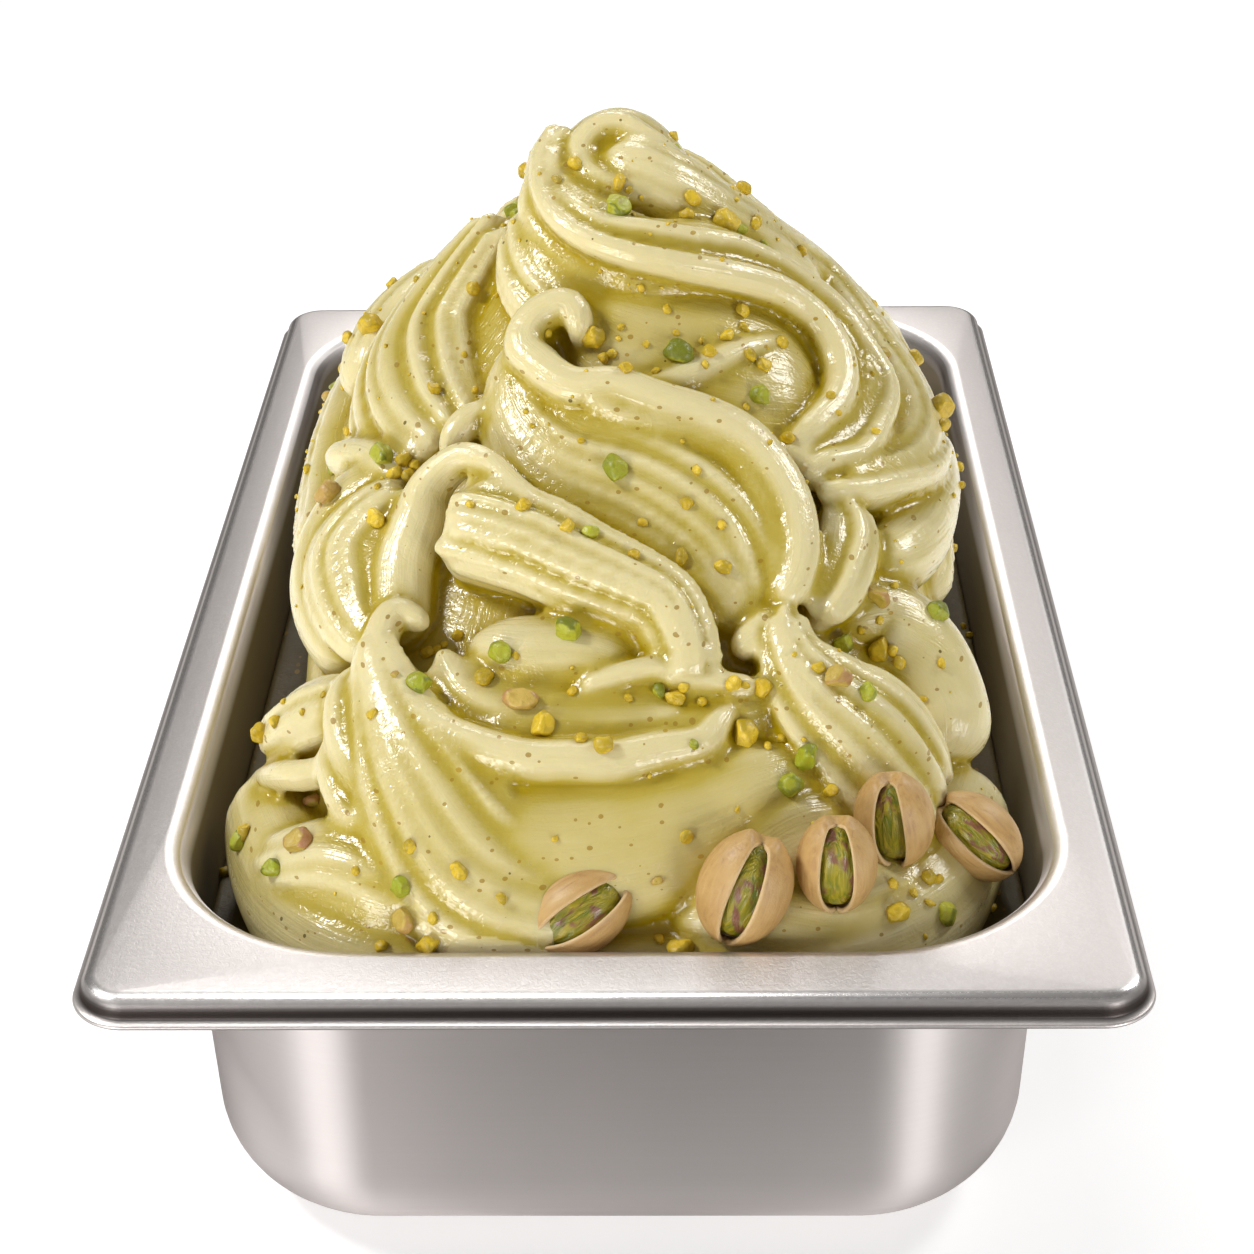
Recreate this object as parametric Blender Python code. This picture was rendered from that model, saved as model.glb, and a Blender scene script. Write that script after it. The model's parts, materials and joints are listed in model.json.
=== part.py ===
"""A stainless-steel quarter-size pan heaped with pistachio gelato.

The row frame has its origin at the centre of the pan's flat base, +X across
the pan, +Y along it to the back and +Z up.  Sizes are in millimetres and are
turned into metres by MM where a mesh is made.

The gelato is built the way it is served: a block fills the pan, a mound
stands on it, and thick ribbed folds are laid over the mound.  A place on the
mound is an angle round it from the front, positive to the right, and a height.
"""

import math
from typing import NamedTuple

import bmesh
import bpy
import numpy as np
from mathutils import Matrix, Vector
from mathutils.bvhtree import BVHTree

MM = 0.001
GAP = 0.3

# The pan
PAN_WIDTH = 162.0
PAN_LENGTH = 265.0
PAN_DEPTH = 65.0
SHEET = 0.8
FLANGE_WIDTH = 9.0
FLANGE_DROP = 2.0
RIM_CORNER_RADIUS = 9.0
OPENING_CORNER_RADIUS = 33.5
INNER_EDGE_RADIUS = 4.0
OUTER_EDGE_RADIUS = 2.6
LIP_HEIGHT = 4.6
LIP_FLARE = 1.3
WALL_DRAFT = 1.6
BASE_FILLET = 17.0
CORNER_STEPS = 6
STRETCH = (PAN_LENGTH - PAN_WIDTH) / 2

# The gelato: the block in the pan, and how finely the whole is meshed
FILL_HEIGHT = 46.0
CORE_INSET = 5.0
VOXEL = 1.5
BODY_TRIANGLES = 6600
STEP = 1.6

# The chopped pistachio fused into the gelato
BIT_SEED = 11
SCATTERED_BITS = 18
BIT_SPACING = 5.5

# The pistachios in the shell: half sizes across, through and along
NUT_HALF = (7.0, 6.5, 9.3)
SHELL_WALL = 0.9
KERNEL_HALF = (5.6, 5.0, 7.7)
NUT_ROWS = 8
NUT_COLUMNS = 10


class Level(NamedTuple):
    """One level section of the mound, a rounded rectangle turning into an ellipse."""

    height: float
    half_width: float
    half_length: float
    centre_back: float
    squareness: float


MOUND = (
    Level(36, 60.5, 122.0, 0, 5.0),
    Level(60, 60.0, 118.5, 0, 4.2),
    Level(78, 59.5, 99.0, 0, 3.2),
    Level(90, 57.0, 83.0, 1, 2.7),
    Level(100, 52.5, 69.0, 2, 2.4),
    Level(110, 44.5, 56.0, 3, 2.2),
    Level(120, 35.0, 44.0, 4, 2.1),
    Level(130, 26.0, 32.0, 4, 2.0),
    Level(140, 18.0, 21.0, 5, 2.0),
    Level(146, 12.5, 14.0, 5, 2.0),
    Level(150, 7.0, 8.0, 5, 2.0),
    Level(152, 3.0, 3.0, 5, 2.0),
)


class Fold(NamedTuple):
    """A thick ribbon of gelato laid along a path on the mound.

    path holds (angle, height) of each station.  width and thick are half
    sizes, and rise is how far the crest stands off the mound; each changes
    evenly through the values given.  lean tips the upper edge outward, in
    degrees.  groove is the depth between neighbouring ribs, which strands
    makes separate rolls.  ends are the lengths over which the two ends are
    rounded off.
    """

    path: tuple
    width: tuple
    thick: tuple
    rise: tuple
    lean: tuple = (0,)
    ribs: int = 0
    groove: float = 0.0
    strands: bool = False
    ends: tuple = (8, 8)


class Run(NamedTuple):
    """A fold's middle line: how far along it, its frame, and its half sizes."""

    distance: np.ndarray
    centre: np.ndarray
    across: np.ndarray
    upright: np.ndarray
    width: np.ndarray
    thick: np.ndarray


FOLDS = {
    "cap curl": Fold(
        ((58, 143), (45, 148), (17, 151), (-28, 151), (-39, 149), (-24, 146), (1, 144), (28, 142),
         (62, 137)),
        width=(2.2, 2.8, 3, 3, 2.8, 2.6, 2.6, 2.4, 2), thick=(3, 3, 3, 2.6),
        rise=(2.5, 3.5, 3.5, 3, 2.5),
        ends=(3, 5),
    ),
    "cap face": Fold(
        ((-13, 149), (15, 147), (40, 143), (61, 137), (88, 127), (97, 117)),
        width=(5, 7, 7.5, 7.5, 6, 4), thick=(5, 5.5, 5), rise=(2.6, 3.4, 3, 2),
        ribs=4, groove=0.9,
    ),
    "cap band": Fold(
        ((-80, 149), (-55, 145), (-31, 141), (-9, 138), (11, 135), (35, 133), (54, 127), (65, 120),
         (66, 114), (59, 110), (48, 108), (38, 108), (30, 107)),
        width=(3, 4.5, 5.5, 6.5, 7, 7, 7, 7, 7, 7, 6.5, 6, 5), thick=(5, 6, 6, 6, 6, 5),
        rise=(2.5, 4, 4.5, 4.5, 4.5, 4, 3),
        ribs=6, groove=1.1, strands=True, ends=(5, 6),
    ),
    "cap crest": Fold(
        ((-62, 146), (-44, 143), (-27, 139), (-11, 136), (3, 134), (18, 132), (35, 129), (48, 125),
         (54, 120), (54, 116), (51, 113), (45, 111), (37, 110), (30, 109)),
        width=(1.6, 2, 2.3, 2.6, 3, 3.2, 3, 2.4), thick=(2.2, 2.6, 3, 3, 2.4),
        rise=(4, 6.5, 7.5, 7.5, 7.5, 6.5, 5),
        ends=(4, 6),
    ),
    "cap second crest": Fold(
        ((-49, 147), (-31, 142), (-17, 140), (-3, 138), (11, 137), (27, 135), (40, 133), (50, 130),
         (59, 126), (66, 121), (68, 117), (66, 113), (64, 109), (59, 107), (51, 106), (43, 105),
         (35, 106), (30, 106)),
        width=(1.4, 1.8, 2.2, 2.4, 2.6, 2.6, 2.2), thick=(2, 2.6, 2.8, 2.8, 2.4),
        rise=(4, 6, 6.5, 6.5, 6.5, 6, 5),
        ends=(4, 6),
    ),
    "cap left ribs": Fold(
        ((-54, 143), (-44, 139), (-30, 136), (-12, 133), (4, 131)),
        width=(1.2, 1.8, 2, 1.8, 1.2), thick=(2, 2.4, 2), rise=(4, 4, 2.5, 1),
        ends=(4, 8),
    ),
    "shoulder": Fold(
        ((51, 142), (85, 133), (108, 119), (98, 111), (86, 104), (74, 100), (59, 100), (46, 102),
         (36, 104)),
        width=(5, 7, 8.5, 9, 9, 8, 7, 6, 5), thick=(6, 7, 7, 7, 7, 6, 5),
        rise=(1, 2, 2.5, 3, 4, 4.5, 4.5, 4),
        ribs=6, groove=1.1, strands=True,
    ),
    "shoulder lip": Fold(
        ((75, 95), (59, 97), (46, 100), (37, 102), (31, 104)),
        width=(2, 2.6, 2.6, 2), thick=(2.6, 3, 2.6), rise=(5, 6, 6, 5),
        ends=(4, 5),
    ),
    "scoop": Fold(
        ((-18, 131), (6, 126), (23, 121), (39, 116), (48, 111)),
        width=(6, 14, 19, 17, 8), thick=(5, 6, 7, 6), rise=(0, 1.5, 2.8, 3.4, 2.2),
        ends=(12, 12),
    ),
    "scoop ridge": Fold(
        ((-2, 119), (7, 119), (17, 120), (30, 121), (47, 120)),
        width=(1.4, 2.4, 3, 2.6, 1.4), thick=(2, 2.6, 2.2), rise=(2.6, 3.8, 4.2, 3.6),
        ends=(9, 12),
    ),
    "left shoulder": Fold(
        ((-52, 138), (-33, 133), (-13, 129), (2, 126)),
        width=(5, 8, 8, 5), thick=(5, 5, 4), rise=(2, 1.5, 0.5, -0.5),
        ribs=6, groove=1.1, strands=True,
    ),
    "left comb": Fold(
        ((-93, 134), (-81, 124), (-70, 116), (-52, 112), (-34, 110)),
        width=(7, 13, 15, 14, 10), thick=(7, 8, 8, 7), rise=(0, 1.5, 2, 1.5, 0.5),
        ribs=7, groove=1.7, strands=True, ends=(6, 8),
    ),
    "central sheet": Fold(
        ((-22, 125), (-20, 118), (-10, 112), (4, 108), (12, 103), (15, 98), (16, 93)),
        width=(3.5, 8, 13, 15.5, 15, 12, 6), thick=(4, 7, 8, 8, 8, 8, 5),
        rise=(5, 5, 5, 5.5, 5.5, 5, 4),
        lean=(0, 8, 12, 12, 8), ribs=8, groove=1.2, ends=(5, 6),
    ),
    "central crest": Fold(
        ((-10, 124), (-9, 126), (-12, 128), (-17, 127), (-20, 125), (-20, 122), (-15, 120), (-8, 118),
         (0, 118), (8, 116), (15, 114), (21, 111), (24, 107), (25, 103), (24, 99), (22, 96), (19, 94)),
        width=(1.8, 2.8, 3.2, 3.4, 3.6, 3.8, 4, 4.2, 4.2, 4, 3.4, 2.6),
        thick=(3, 3.6, 3.6, 3.8, 3.8, 3.4, 2.6), rise=(3, 6.5, 7.5, 8, 8, 8.5, 8.5, 8.5, 8, 7, 5),
        ends=(5, 4),
    ),
    "central inner crest": Fold(
        ((-16, 123), (-11, 120), (-3, 116), (6, 114), (14, 112), (19, 109), (21, 104), (21, 100),
         (19, 96)),
        width=(1.2, 1.8, 2, 2, 1.8, 1.4), thick=(2, 2.4, 2.4, 2), rise=(6, 7, 7, 6.5, 6, 5),
        ends=(4, 6),
    ),
    "arc behind": Fold(
        ((-30, 108), (-30, 111), (-28, 114), (-23, 116)),
        width=(2, 2.6, 2.6, 2.4), thick=(3, 3, 3), rise=(4, 4.5, 4, 3),
    ),
    "arch": Fold(
        ((-25, 90), (-27, 93), (-29, 97), (-29, 102), (-28, 105), (-24, 108), (-19, 108), (-14, 106),
         (-9, 104)),
        width=(4.5, 5.2, 5.2, 4.6, 3.4, 2.8, 2.4, 2.2, 2), thick=(5, 5, 4.4, 3.4, 3, 2.6),
        rise=(4.5, 5, 6, 8, 9, 8.5, 8),
        ends=(6, 4),
    ),
    "tongue": Fold(
        ((-23, 102), (-17, 102), (-10, 101), (-4, 99), (2, 97), (6, 95), (8, 91), (8, 88)),
        width=(8, 8.6, 8.4, 7.8, 7, 6.2, 5.2, 4), thick=(7, 7, 7, 6.5, 5.5),
        rise=(8.5, 9, 9, 8.5, 7.5, 5.5),
        lean=(5, 8, 8), ribs=7, groove=1.5, strands=True, ends=(3, 6),
    ),
    "tongue belly": Fold(
        ((-17, 92), (-10, 91), (-3, 91), (4, 90)),
        width=(5, 8, 8, 5), thick=(7, 8, 8, 6), rise=(4, 5.5, 5.5, 3),
    ),
    "left lobe": Fold(
        ((-36, 106), (-45, 102), (-47, 96), (-44, 91), (-36, 89), (-29, 88)),
        width=(5, 8, 9, 9.5, 9, 7), thick=(7, 8, 8, 8, 7), rise=(1, 3, 4, 4, 3.5, 2),
    ),
    "left lobe arcs": Fold(
        ((-34, 104), (-37, 100), (-38, 95), (-33, 91), (-27, 88)),
        width=(4, 6.5, 8, 7, 4), thick=(4, 4.5, 4), rise=(3, 5, 5.5, 5, 3.5),
        ribs=5, groove=1.1, strands=True,
    ),
    "left lobe top": Fold(
        ((-65, 99), (-50, 104), (-40, 105), (-36, 107)),
        width=(3, 4, 4, 3), thick=(4, 4.5, 4), rise=(2, 3, 3, 2),
    ),
    "lower sheet": Fold(
        ((-26, 85), (-21, 78), (-13, 74), (-4, 73), (5, 75), (13, 78), (22, 80)),
        width=(6, 10, 12, 13, 13, 11, 7), thick=(8, 10, 10, 9, 8), rise=(5, 6, 6, 5.5, 4, 1.5),
        lean=(0, 6, 8, 6, 2), ends=(8, 20),
    ),
    "lower crest": Fold(
        ((-21, 92), (-25, 92), (-25, 89), (-23, 86), (-20, 84), (-16, 82), (-13, 81), (-8, 80),
         (-4, 80), (0, 80), (4, 81), (8, 82), (10, 84), (12, 86)),
        width=(2, 2.8, 3.2, 3.4, 3.6, 3.6, 3.6, 3, 2.2), thick=(2.6, 3.2, 3.2, 3, 2),
        rise=(5, 8, 8.5, 8.5, 8.5, 8, 6, 4),
        ends=(3, 9),
    ),
    "lower fan": Fold(
        ((-26, 89), (-21, 83), (-16, 77), (-10, 70), (-3, 67)),
        width=(3, 7, 12, 15, 13), thick=(4, 6, 7, 6), rise=(8, 8.5, 8, 5.5, 2),
        ribs=8, groove=1.1, strands=True,
    ),
    "lower fan edge": Fold(
        ((-28, 86), (-27, 82), (-24, 78), (-19, 74), (-16, 71)),
        width=(2, 3, 3.4, 3, 2), thick=(3, 3.4, 3), rise=(5, 6.5, 7, 6, 4),
    ),
    "valley ribs": Fold(
        ((-19, 90), (-14, 86), (-6, 84), (1, 84), (7, 85)),
        width=(4, 6, 7, 6.5, 3), thick=(5, 5, 5), rise=(3.5, 4, 4, 3.5),
        ribs=3, groove=1.2, strands=True,
    ),
    "valley floor": Fold(
        ((-15, 89), (-5, 87), (5, 87), (12, 86), (18, 87)),
        width=(6, 8, 8, 7, 5), thick=(6, 6, 6), rise=(2.5, 3, 3, 2),
    ),
    "valley lip": Fold(
        ((-4, 87), (-1, 88), (4, 89), (8, 88), (15, 87)),
        width=(1.4, 2, 2.2, 2.2, 1.8), thick=(2.2, 2.4, 2.4), rise=(5, 6, 6, 4.5),
        ends=(4, 4),
    ),
    "valley ridge": Fold(
        ((-13, 84), (-8, 83), (-1, 82), (5, 83), (9, 85)),
        width=(1.4, 1.8, 2, 1.8, 1.4), thick=(2, 2.2, 2), rise=(5, 5.5, 5, 4.5),
        ends=(5, 5),
    ),
    "left loop": Fold(
        ((-26, 79), (-26, 76), (-23, 73), (-21, 72), (-19, 75), (-20, 79), (-23, 82)),
        width=(2, 2.4, 2.4, 2), thick=(2.6, 2.8, 2.6), rise=(5, 5.5, 6.5, 8),
        ends=(3, 3),
    ),
    "right bulb": Fold(
        ((96, 87), (63, 92), (48, 93), (39, 94), (34, 96)),
        width=(5, 6, 6.5, 6, 4), thick=(6, 6, 6, 5), rise=(3.5, 4.5, 5, 4.5, 3),
    ),
    "right comb": Fold(
        ((34, 103), (34, 99), (29, 95), (24, 92)),
        width=(3, 5, 5, 3), thick=(4, 5, 4), rise=(3, 4, 4, 3),
        ribs=3, groove=1.5, strands=True,
    ),
    "right lobe": Fold(
        ((28, 92), (35, 90), (39, 83), (39, 75), (36, 69)),
        width=(4, 8, 9, 9, 8), thick=(6, 8, 8, 8), rise=(2, 3, 5, 6, 6),
    ),
    "right fan": Fold(
        ((20, 94), (19, 90), (21, 85), (25, 79), (29, 69)),
        width=(3, 5, 9.5, 13, 12), thick=(4, 6, 7, 7), rise=(4.5, 5.5, 6, 5, 2),
        ribs=6, groove=1.4, strands=True, ends=(8, 16),
    ),
    "neck web": Fold(
        ((13, 91), (16, 92), (19, 94)),
        width=(2.5, 3, 2.5), thick=(3, 3), rise=(3, 4, 4),
        ends=(3, 3),
    ),
    "front left": Fold(
        ((-36, 52), (-24, 66), (-17, 67), (-12, 65), (-8, 63)),
        width=(6, 9, 9, 6, 3), thick=(8, 8, 7, 5), rise=(5, 6, 5, 2.5, 0.5),
        ribs=4, groove=0.8,
    ),
    "front slope": Fold(
        ((3, 68), (8, 70), (15, 74), (23, 74)),
        width=(7, 10, 11, 7), thick=(7, 8, 8, 7), rise=(0.5, 2, 3, 1),
        ends=(14, 16),
    ),
    "left foot": Fold(
        ((-39, 70), (-32, 79), (-27, 83)),
        width=(5, 6, 5), thick=(6, 6), rise=(3, 4, 4),
        ribs=4, groove=1, strands=True,
    ),
    "left finger": Fold(
        ((-40, 62), (-33, 70), (-28, 74), (-25, 77)),
        width=(1.6, 2.4, 2.6, 2.2), thick=(2.4, 2.8, 2.4), rise=(3, 4.5, 4),
        ends=(4, 5),
    ),
    "front right": Fold(
        ((4, 66), (10, 66), (17, 63), (25, 61), (38, 53)),
        width=(6, 8, 9, 9, 6), thick=(6, 6), rise=(0, 1, 2, 3),
    ),
    "front apron": Fold(
        ((-40, 56), (-20, 58), (0, 57), (20, 58), (40, 56)),
        width=(12, 10, 8, 10, 12), thick=(9, 8, 8, 9), rise=(8, 4, -1, 3, 8),
    ),
    "left flank": Fold(
        ((-62, 84), (-84, 80), (-110, 82), (-132, 88)),
        width=(5, 9, 10, 6), thick=(6, 7, 6), rise=(0, 2, 1), ribs=5, groove=1.5,
    ),
    "left flank upper": Fold(
        ((-95, 100), (-115, 106), (-138, 112)),
        width=(6, 9, 6), thick=(6, 7, 6), rise=(1, 3, 2), ribs=4, groove=1.4,
    ),
    "right flank": Fold(
        ((58, 78), (80, 82), (104, 80), (126, 74)),
        width=(5, 9, 10, 6), thick=(6, 7, 6), rise=(0, 2, 1), ribs=5, groove=1.5,
    ),
    "right flank upper": Fold(
        ((104, 112), (116, 102), (126, 92)),
        width=(6, 8, 6), thick=(6, 7, 6), rise=(2, 3, 1), ribs=4, groove=1.4,
    ),
    "back upper": Fold(
        ((110, 120), (150, 132), (185, 130), (220, 118)),
        width=(6, 10, 11, 7), thick=(6, 7, 6), rise=(2, 3, 2), ribs=5, groove=1.5,
    ),
    "back middle": Fold(
        ((100, 90), (130, 105), (160, 112), (190, 105), (225, 88)),
        width=(8, 14, 16, 14, 8), thick=(7, 8, 8, 7), rise=(2, 3, 3, 2), ribs=6, groove=1.7,
    ),
    "back lower": Fold(
        ((95, 66), (130, 74), (165, 80), (200, 78), (240, 70), (262, 62)),
        width=(6, 10, 12, 12, 10, 6), thick=(6, 7, 7, 6), rise=(2, 3, 3, 2), ribs=5, groove=1.5,
    ),
}


class Bit(NamedTuple):
    """A large piece of chopped pistachio: its place on the mound and its size."""

    angle: float
    height: float
    size: float


LARGE_BITS = (
    Bit(0, 141, 4.2), Bit(14, 123, 4.0), Bit(28, 116, 3.4), Bit(0, 110, 4.0), Bit(-5, 94, 4.2),
    Bit(-20, 87, 3.7), Bit(-12, 91, 3.4), Bit(-37, 56, 3.5), Bit(-27, 64, 3.4), Bit(-16, 69, 3.2),
    Bit(17, 80, 4.0), Bit(15, 78, 4.0), Bit(25, 90, 3.4), Bit(40, 87, 3.4), Bit(25, 84, 3.0),
    Bit(25, 61, 3.2), Bit(-41, 106, 3.8), Bit(-47, 99, 4.2), Bit(-9, 87, 4.5), Bit(32, 92, 3.5),
    Bit(23, 87, 4.0), Bit(-25, 69, 4.3), Bit(-15, 66, 3.7), Bit(44, 136, 4.5), Bit(-6, 125, 3.8),
    Bit(-7, 84, 4.0), Bit(-1, 82, 3.4), Bit(12, 83, 4.3), Bit(15, 87, 3.0), Bit(29, 88, 3.5),
    Bit(21, 64, 3.4), Bit(5, 63, 3.5), Bit(-13, 63, 3.5), Bit(-35, 100, 3.4), Bit(-13, 89, 3.0),
)


class Nut(NamedTuple):
    """A pistachio in its split shell: its centre, long axis, the way its slit faces, half the slit."""

    centre: tuple
    axis: tuple
    facing: tuple
    scale: float
    slit: float


NUTS = (
    Nut((-5.2, -113.4, 66.0), (0.83, 0.28, 0.48), (0.1, -0.87, 0.5), 0.94, 2.3),
    Nut((19.9, -114.6, 71.2), (0.32, 0.10, 0.94), (-0.1, -0.95, 0.2), 1.02, 1.8),
    Nut((33.8, -111.6, 73.5), (-0.02, 0.02, 1.0), (-0.05, -1.0, 0.0), 0.88, 2.7),
    Nut((43.2, -101.0, 74.4), (-0.14, -0.04, 0.99), (-0.2, -0.98, 0.0), 0.89, 2.4),
    Nut((57.0, -94.0, 66.4), (-0.72, 0.35, 0.60), (-0.1, -0.87, 0.5), 0.88, 2.1),
)


def clear_scene():
    """Remove what the start-up file holds."""
    for obj in list(bpy.data.objects):
        bpy.data.objects.remove(obj)


def material(name, colour, roughness, metallic=0.0):
    """A Principled material with a plain colour."""
    made = bpy.data.materials.new(name)
    made.use_nodes = True
    shader = made.node_tree.nodes["Principled BSDF"]
    shader.inputs["Base Color"].default_value = (*colour, 1.0)
    shader.inputs["Roughness"].default_value = roughness
    shader.inputs["Metallic"].default_value = metallic
    return made


def add_object(name, mesh, finish=None):
    """Put a mesh in the scene under a node name, with its material."""
    obj = bpy.data.objects.new(name, mesh)
    bpy.context.scene.collection.objects.link(obj)
    if finish is not None:
        mesh.materials.append(finish)
    return obj


def tube_faces(rows, columns):
    """Faces of a closed tube of point rings, with a cap on each end."""
    faces = []
    for row in range(rows - 1):
        for column in range(columns):
            beside = (column + 1) % columns
            low, high = row * columns, (row + 1) * columns
            faces.append((low + column, low + beside, high + beside, high + column))
    faces.append(tuple(range(columns - 1, -1, -1)))
    faces.append(tuple((rows - 1) * columns + column for column in range(columns)))
    return faces


def mesh_from(name, points, faces):
    """A mesh from points in millimetres, with its faces turned outward."""
    mesh = bpy.data.meshes.new(name)
    mesh.from_pydata([tuple(p) for p in np.asarray(points) * MM], [], faces)
    bm = bmesh.new()
    bm.from_mesh(mesh)
    bmesh.ops.recalc_face_normals(bm, faces=bm.faces)
    bm.to_mesh(mesh)
    bm.free()
    return mesh


# Pan


def rounded_rectangle(half_x, half_y, radius, z):
    """Points of a level rounded rectangle, anticlockwise from the +X side."""
    points = []
    for corner, (sx, sy) in enumerate(((1, 1), (-1, 1), (-1, -1), (1, -1))):
        for step in range(CORNER_STEPS + 1):
            angle = math.radians(90 * corner + 90 * step / CORNER_STEPS)
            x = sx * (half_x - radius) + radius * math.cos(angle)
            y = sy * (half_y - radius) + radius * math.sin(angle)
            points.append((x, y, z))
    return points


def arc(centre_x, centre_z, radius, first, last, steps):
    """Points of the section round an arc, angles in degrees from +X."""
    angles = [math.radians(first + (last - first) * step / steps) for step in range(steps + 1)]
    return [(centre_x + radius * math.cos(a), centre_z + radius * math.sin(a)) for a in angles]


def opening_half():
    """Half the width of the pan's opening, at the flange's inner edge."""
    return PAN_WIDTH / 2 - FLANGE_WIDTH


def inside_section(inset=0.0):
    """(half width, height) down the middle of the inside, from base to flange."""
    opening = opening_half()
    foot = opening - INNER_EDGE_RADIUS - WALL_DRAFT - BASE_FILLET
    fillet = arc(foot, SHEET + BASE_FILLET, BASE_FILLET - inset, -90, 0, 6)
    edge = arc(opening, PAN_DEPTH - INNER_EDGE_RADIUS, INNER_EDGE_RADIUS + inset, 180, 90, 4)
    return fillet, edge


def pan_rings():
    """Every ring of the pan, as (half width, height, plan corner radius)."""
    opening = opening_half()
    fillet, edge = inside_section()
    inside = [(x, z, OPENING_CORNER_RADIUS + x - opening) for x, z in fillet + edge]

    rim = PAN_WIDTH / 2
    shoulder = rim - LIP_FLARE - OUTER_EDGE_RADIUS
    shoulder_z = PAN_DEPTH - FLANGE_DROP
    edge_foot_z = shoulder_z - OUTER_EDGE_RADIUS
    hem_z = shoulder_z - LIP_HEIGHT
    rounding = arc(shoulder, edge_foot_z, OUTER_EDGE_RADIUS, 90, 0, 4)
    hem = [
        (rim - LIP_FLARE, hem_z + 1.3),
        (rim - 0.35, hem_z + 0.9),
        (rim, hem_z + 0.45),
        (rim - 0.35, hem_z),
        (rim - LIP_FLARE - SHEET, hem_z),
        (rim - LIP_FLARE - SHEET, edge_foot_z),
        (shoulder, shoulder_z - SHEET),
    ]
    lip = [(x, z, RIM_CORNER_RADIUS + x - rim) for x, z in rounding + hem]

    wall_top = opening - INNER_EDGE_RADIUS
    under = [
        (opening, PAN_DEPTH - SHEET),
        (wall_top + 1.6, PAN_DEPTH - 2.2),
        (wall_top + SHEET, PAN_DEPTH - INNER_EDGE_RADIUS - 0.4),
    ]
    foot = wall_top - WALL_DRAFT - BASE_FILLET
    outside = arc(foot, SHEET + BASE_FILLET, BASE_FILLET + SHEET, 0, -90, 6)
    back = [(x, z, OPENING_CORNER_RADIUS + x - opening) for x, z in under + outside]
    return inside + lip + back


def make_pan(finish):
    """The drawn sheet-steel pan as one thin-walled solid."""
    rings = pan_rings()
    points = []
    for half, z, radius in rings:
        points += rounded_rectangle(half, half + STRETCH, max(radius, 2.0), z)
    mesh = mesh_from("pan", points, tube_faces(len(rings), 4 * (CORNER_STEPS + 1)))
    mesh.shade_smooth()
    mesh.set_sharp_from_angle(angle=math.radians(40))
    return add_object("pan", mesh, finish)


def make_cavity():
    """The room for gelato: the pan's inside less the gap, carried straight up above it."""
    fillet, edge = inside_section(inset=GAP)
    wall = edge[0][0]
    section = fillet + [(wall, edge[0][1]), (wall, 190.0)]
    points = []
    for half, z in section:
        radius = OPENING_CORNER_RADIUS + half - opening_half()
        points += rounded_rectangle(half, half + STRETCH, radius, z)
    return add_object("cavity", mesh_from("cavity", points, tube_faces(len(section), 4 * (CORNER_STEPS + 1))))


# Curves


def through(values, at):
    """A smooth curve through evenly spaced values, read at parameters from 0 to 1."""
    rows = np.asarray(values, float)
    if rows.ndim == 1:
        rows = rows[:, None]
    if len(rows) == 1:
        rows = np.repeat(rows, 2, axis=0)
    spans = len(rows) - 1
    padded = np.vstack([2 * rows[0] - rows[1], rows, 2 * rows[-1] - rows[-2]])
    place = np.clip(at, 0, 1) * spans
    span = np.minimum(place.astype(int), spans - 1)
    t = (place - span)[:, None]
    before, start, end, after = (padded[span + k] for k in range(4))
    return 0.5 * (
        2 * start + (end - before) * t
        + (2 * before - 5 * start + 4 * end - after) * t**2
        + (3 * start - before - 3 * end + after) * t**3
    )


def unit(vectors):
    """Vectors made one long."""
    return vectors / np.maximum(np.linalg.norm(vectors, axis=-1, keepdims=True), 1e-9)


def mound_sizes(height):
    """Half width, half length, centre and squareness of the mound at each height."""
    table = np.array(MOUND)
    heights = table[:, 0]
    height = np.clip(height, heights[0], heights[-1])
    span = np.clip(np.searchsorted(heights, height, side="right") - 1, 0, len(heights) - 2)
    length = heights[span + 1] - heights[span]
    t = (height - heights[span]) / length
    sizes = []
    for column in table.T[1:]:
        slope = np.gradient(column, heights)
        sizes.append(
            (2 * t**3 - 3 * t**2 + 1) * column[span]
            + (t**3 - 2 * t**2 + t) * slope[span] * length
            + (3 * t**2 - 2 * t**3) * column[span + 1]
            + (t**3 - t**2) * slope[span + 1] * length
        )
    return sizes


def mound_point(angle, height, outset=0.0):
    """Points on the mound's guide surface; angle in radians from the front."""
    half_width, half_length, centre, power = mound_sizes(height)
    across = (np.abs(np.sin(angle)) / (half_width + outset)) ** power
    along = (np.abs(np.cos(angle)) / (half_length + outset)) ** power
    reach = (across + along) ** (-1 / power)
    return np.stack([reach * np.sin(angle), centre - reach * np.cos(angle), height * np.ones_like(reach)], -1)


def mound_normal(angle, height):
    """The outward direction of the mound's guide surface."""
    low, high = MOUND[0].height + 0.5, MOUND[-1].height - 0.5
    height = np.clip(height, low, high)
    around = mound_point(angle + 0.001, height) - mound_point(angle - 0.001, height)
    upward = mound_point(angle, height + 0.5) - mound_point(angle, height - 0.5)
    return unit(np.cross(around, upward))


# Gelato


def block_shape():
    """The gelato that fills the pan, a little larger than the room for it."""
    half = opening_half()
    points = []
    for z in (0.0, FILL_HEIGHT * 0.5, FILL_HEIGHT - 5, FILL_HEIGHT):
        inset = 5.0 if z == FILL_HEIGHT else 0.0
        points += rounded_rectangle(half - inset, half + STRETCH - inset, OPENING_CORNER_RADIUS - inset, z)
    return np.array(points), tube_faces(4, 4 * (CORNER_STEPS + 1))


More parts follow.
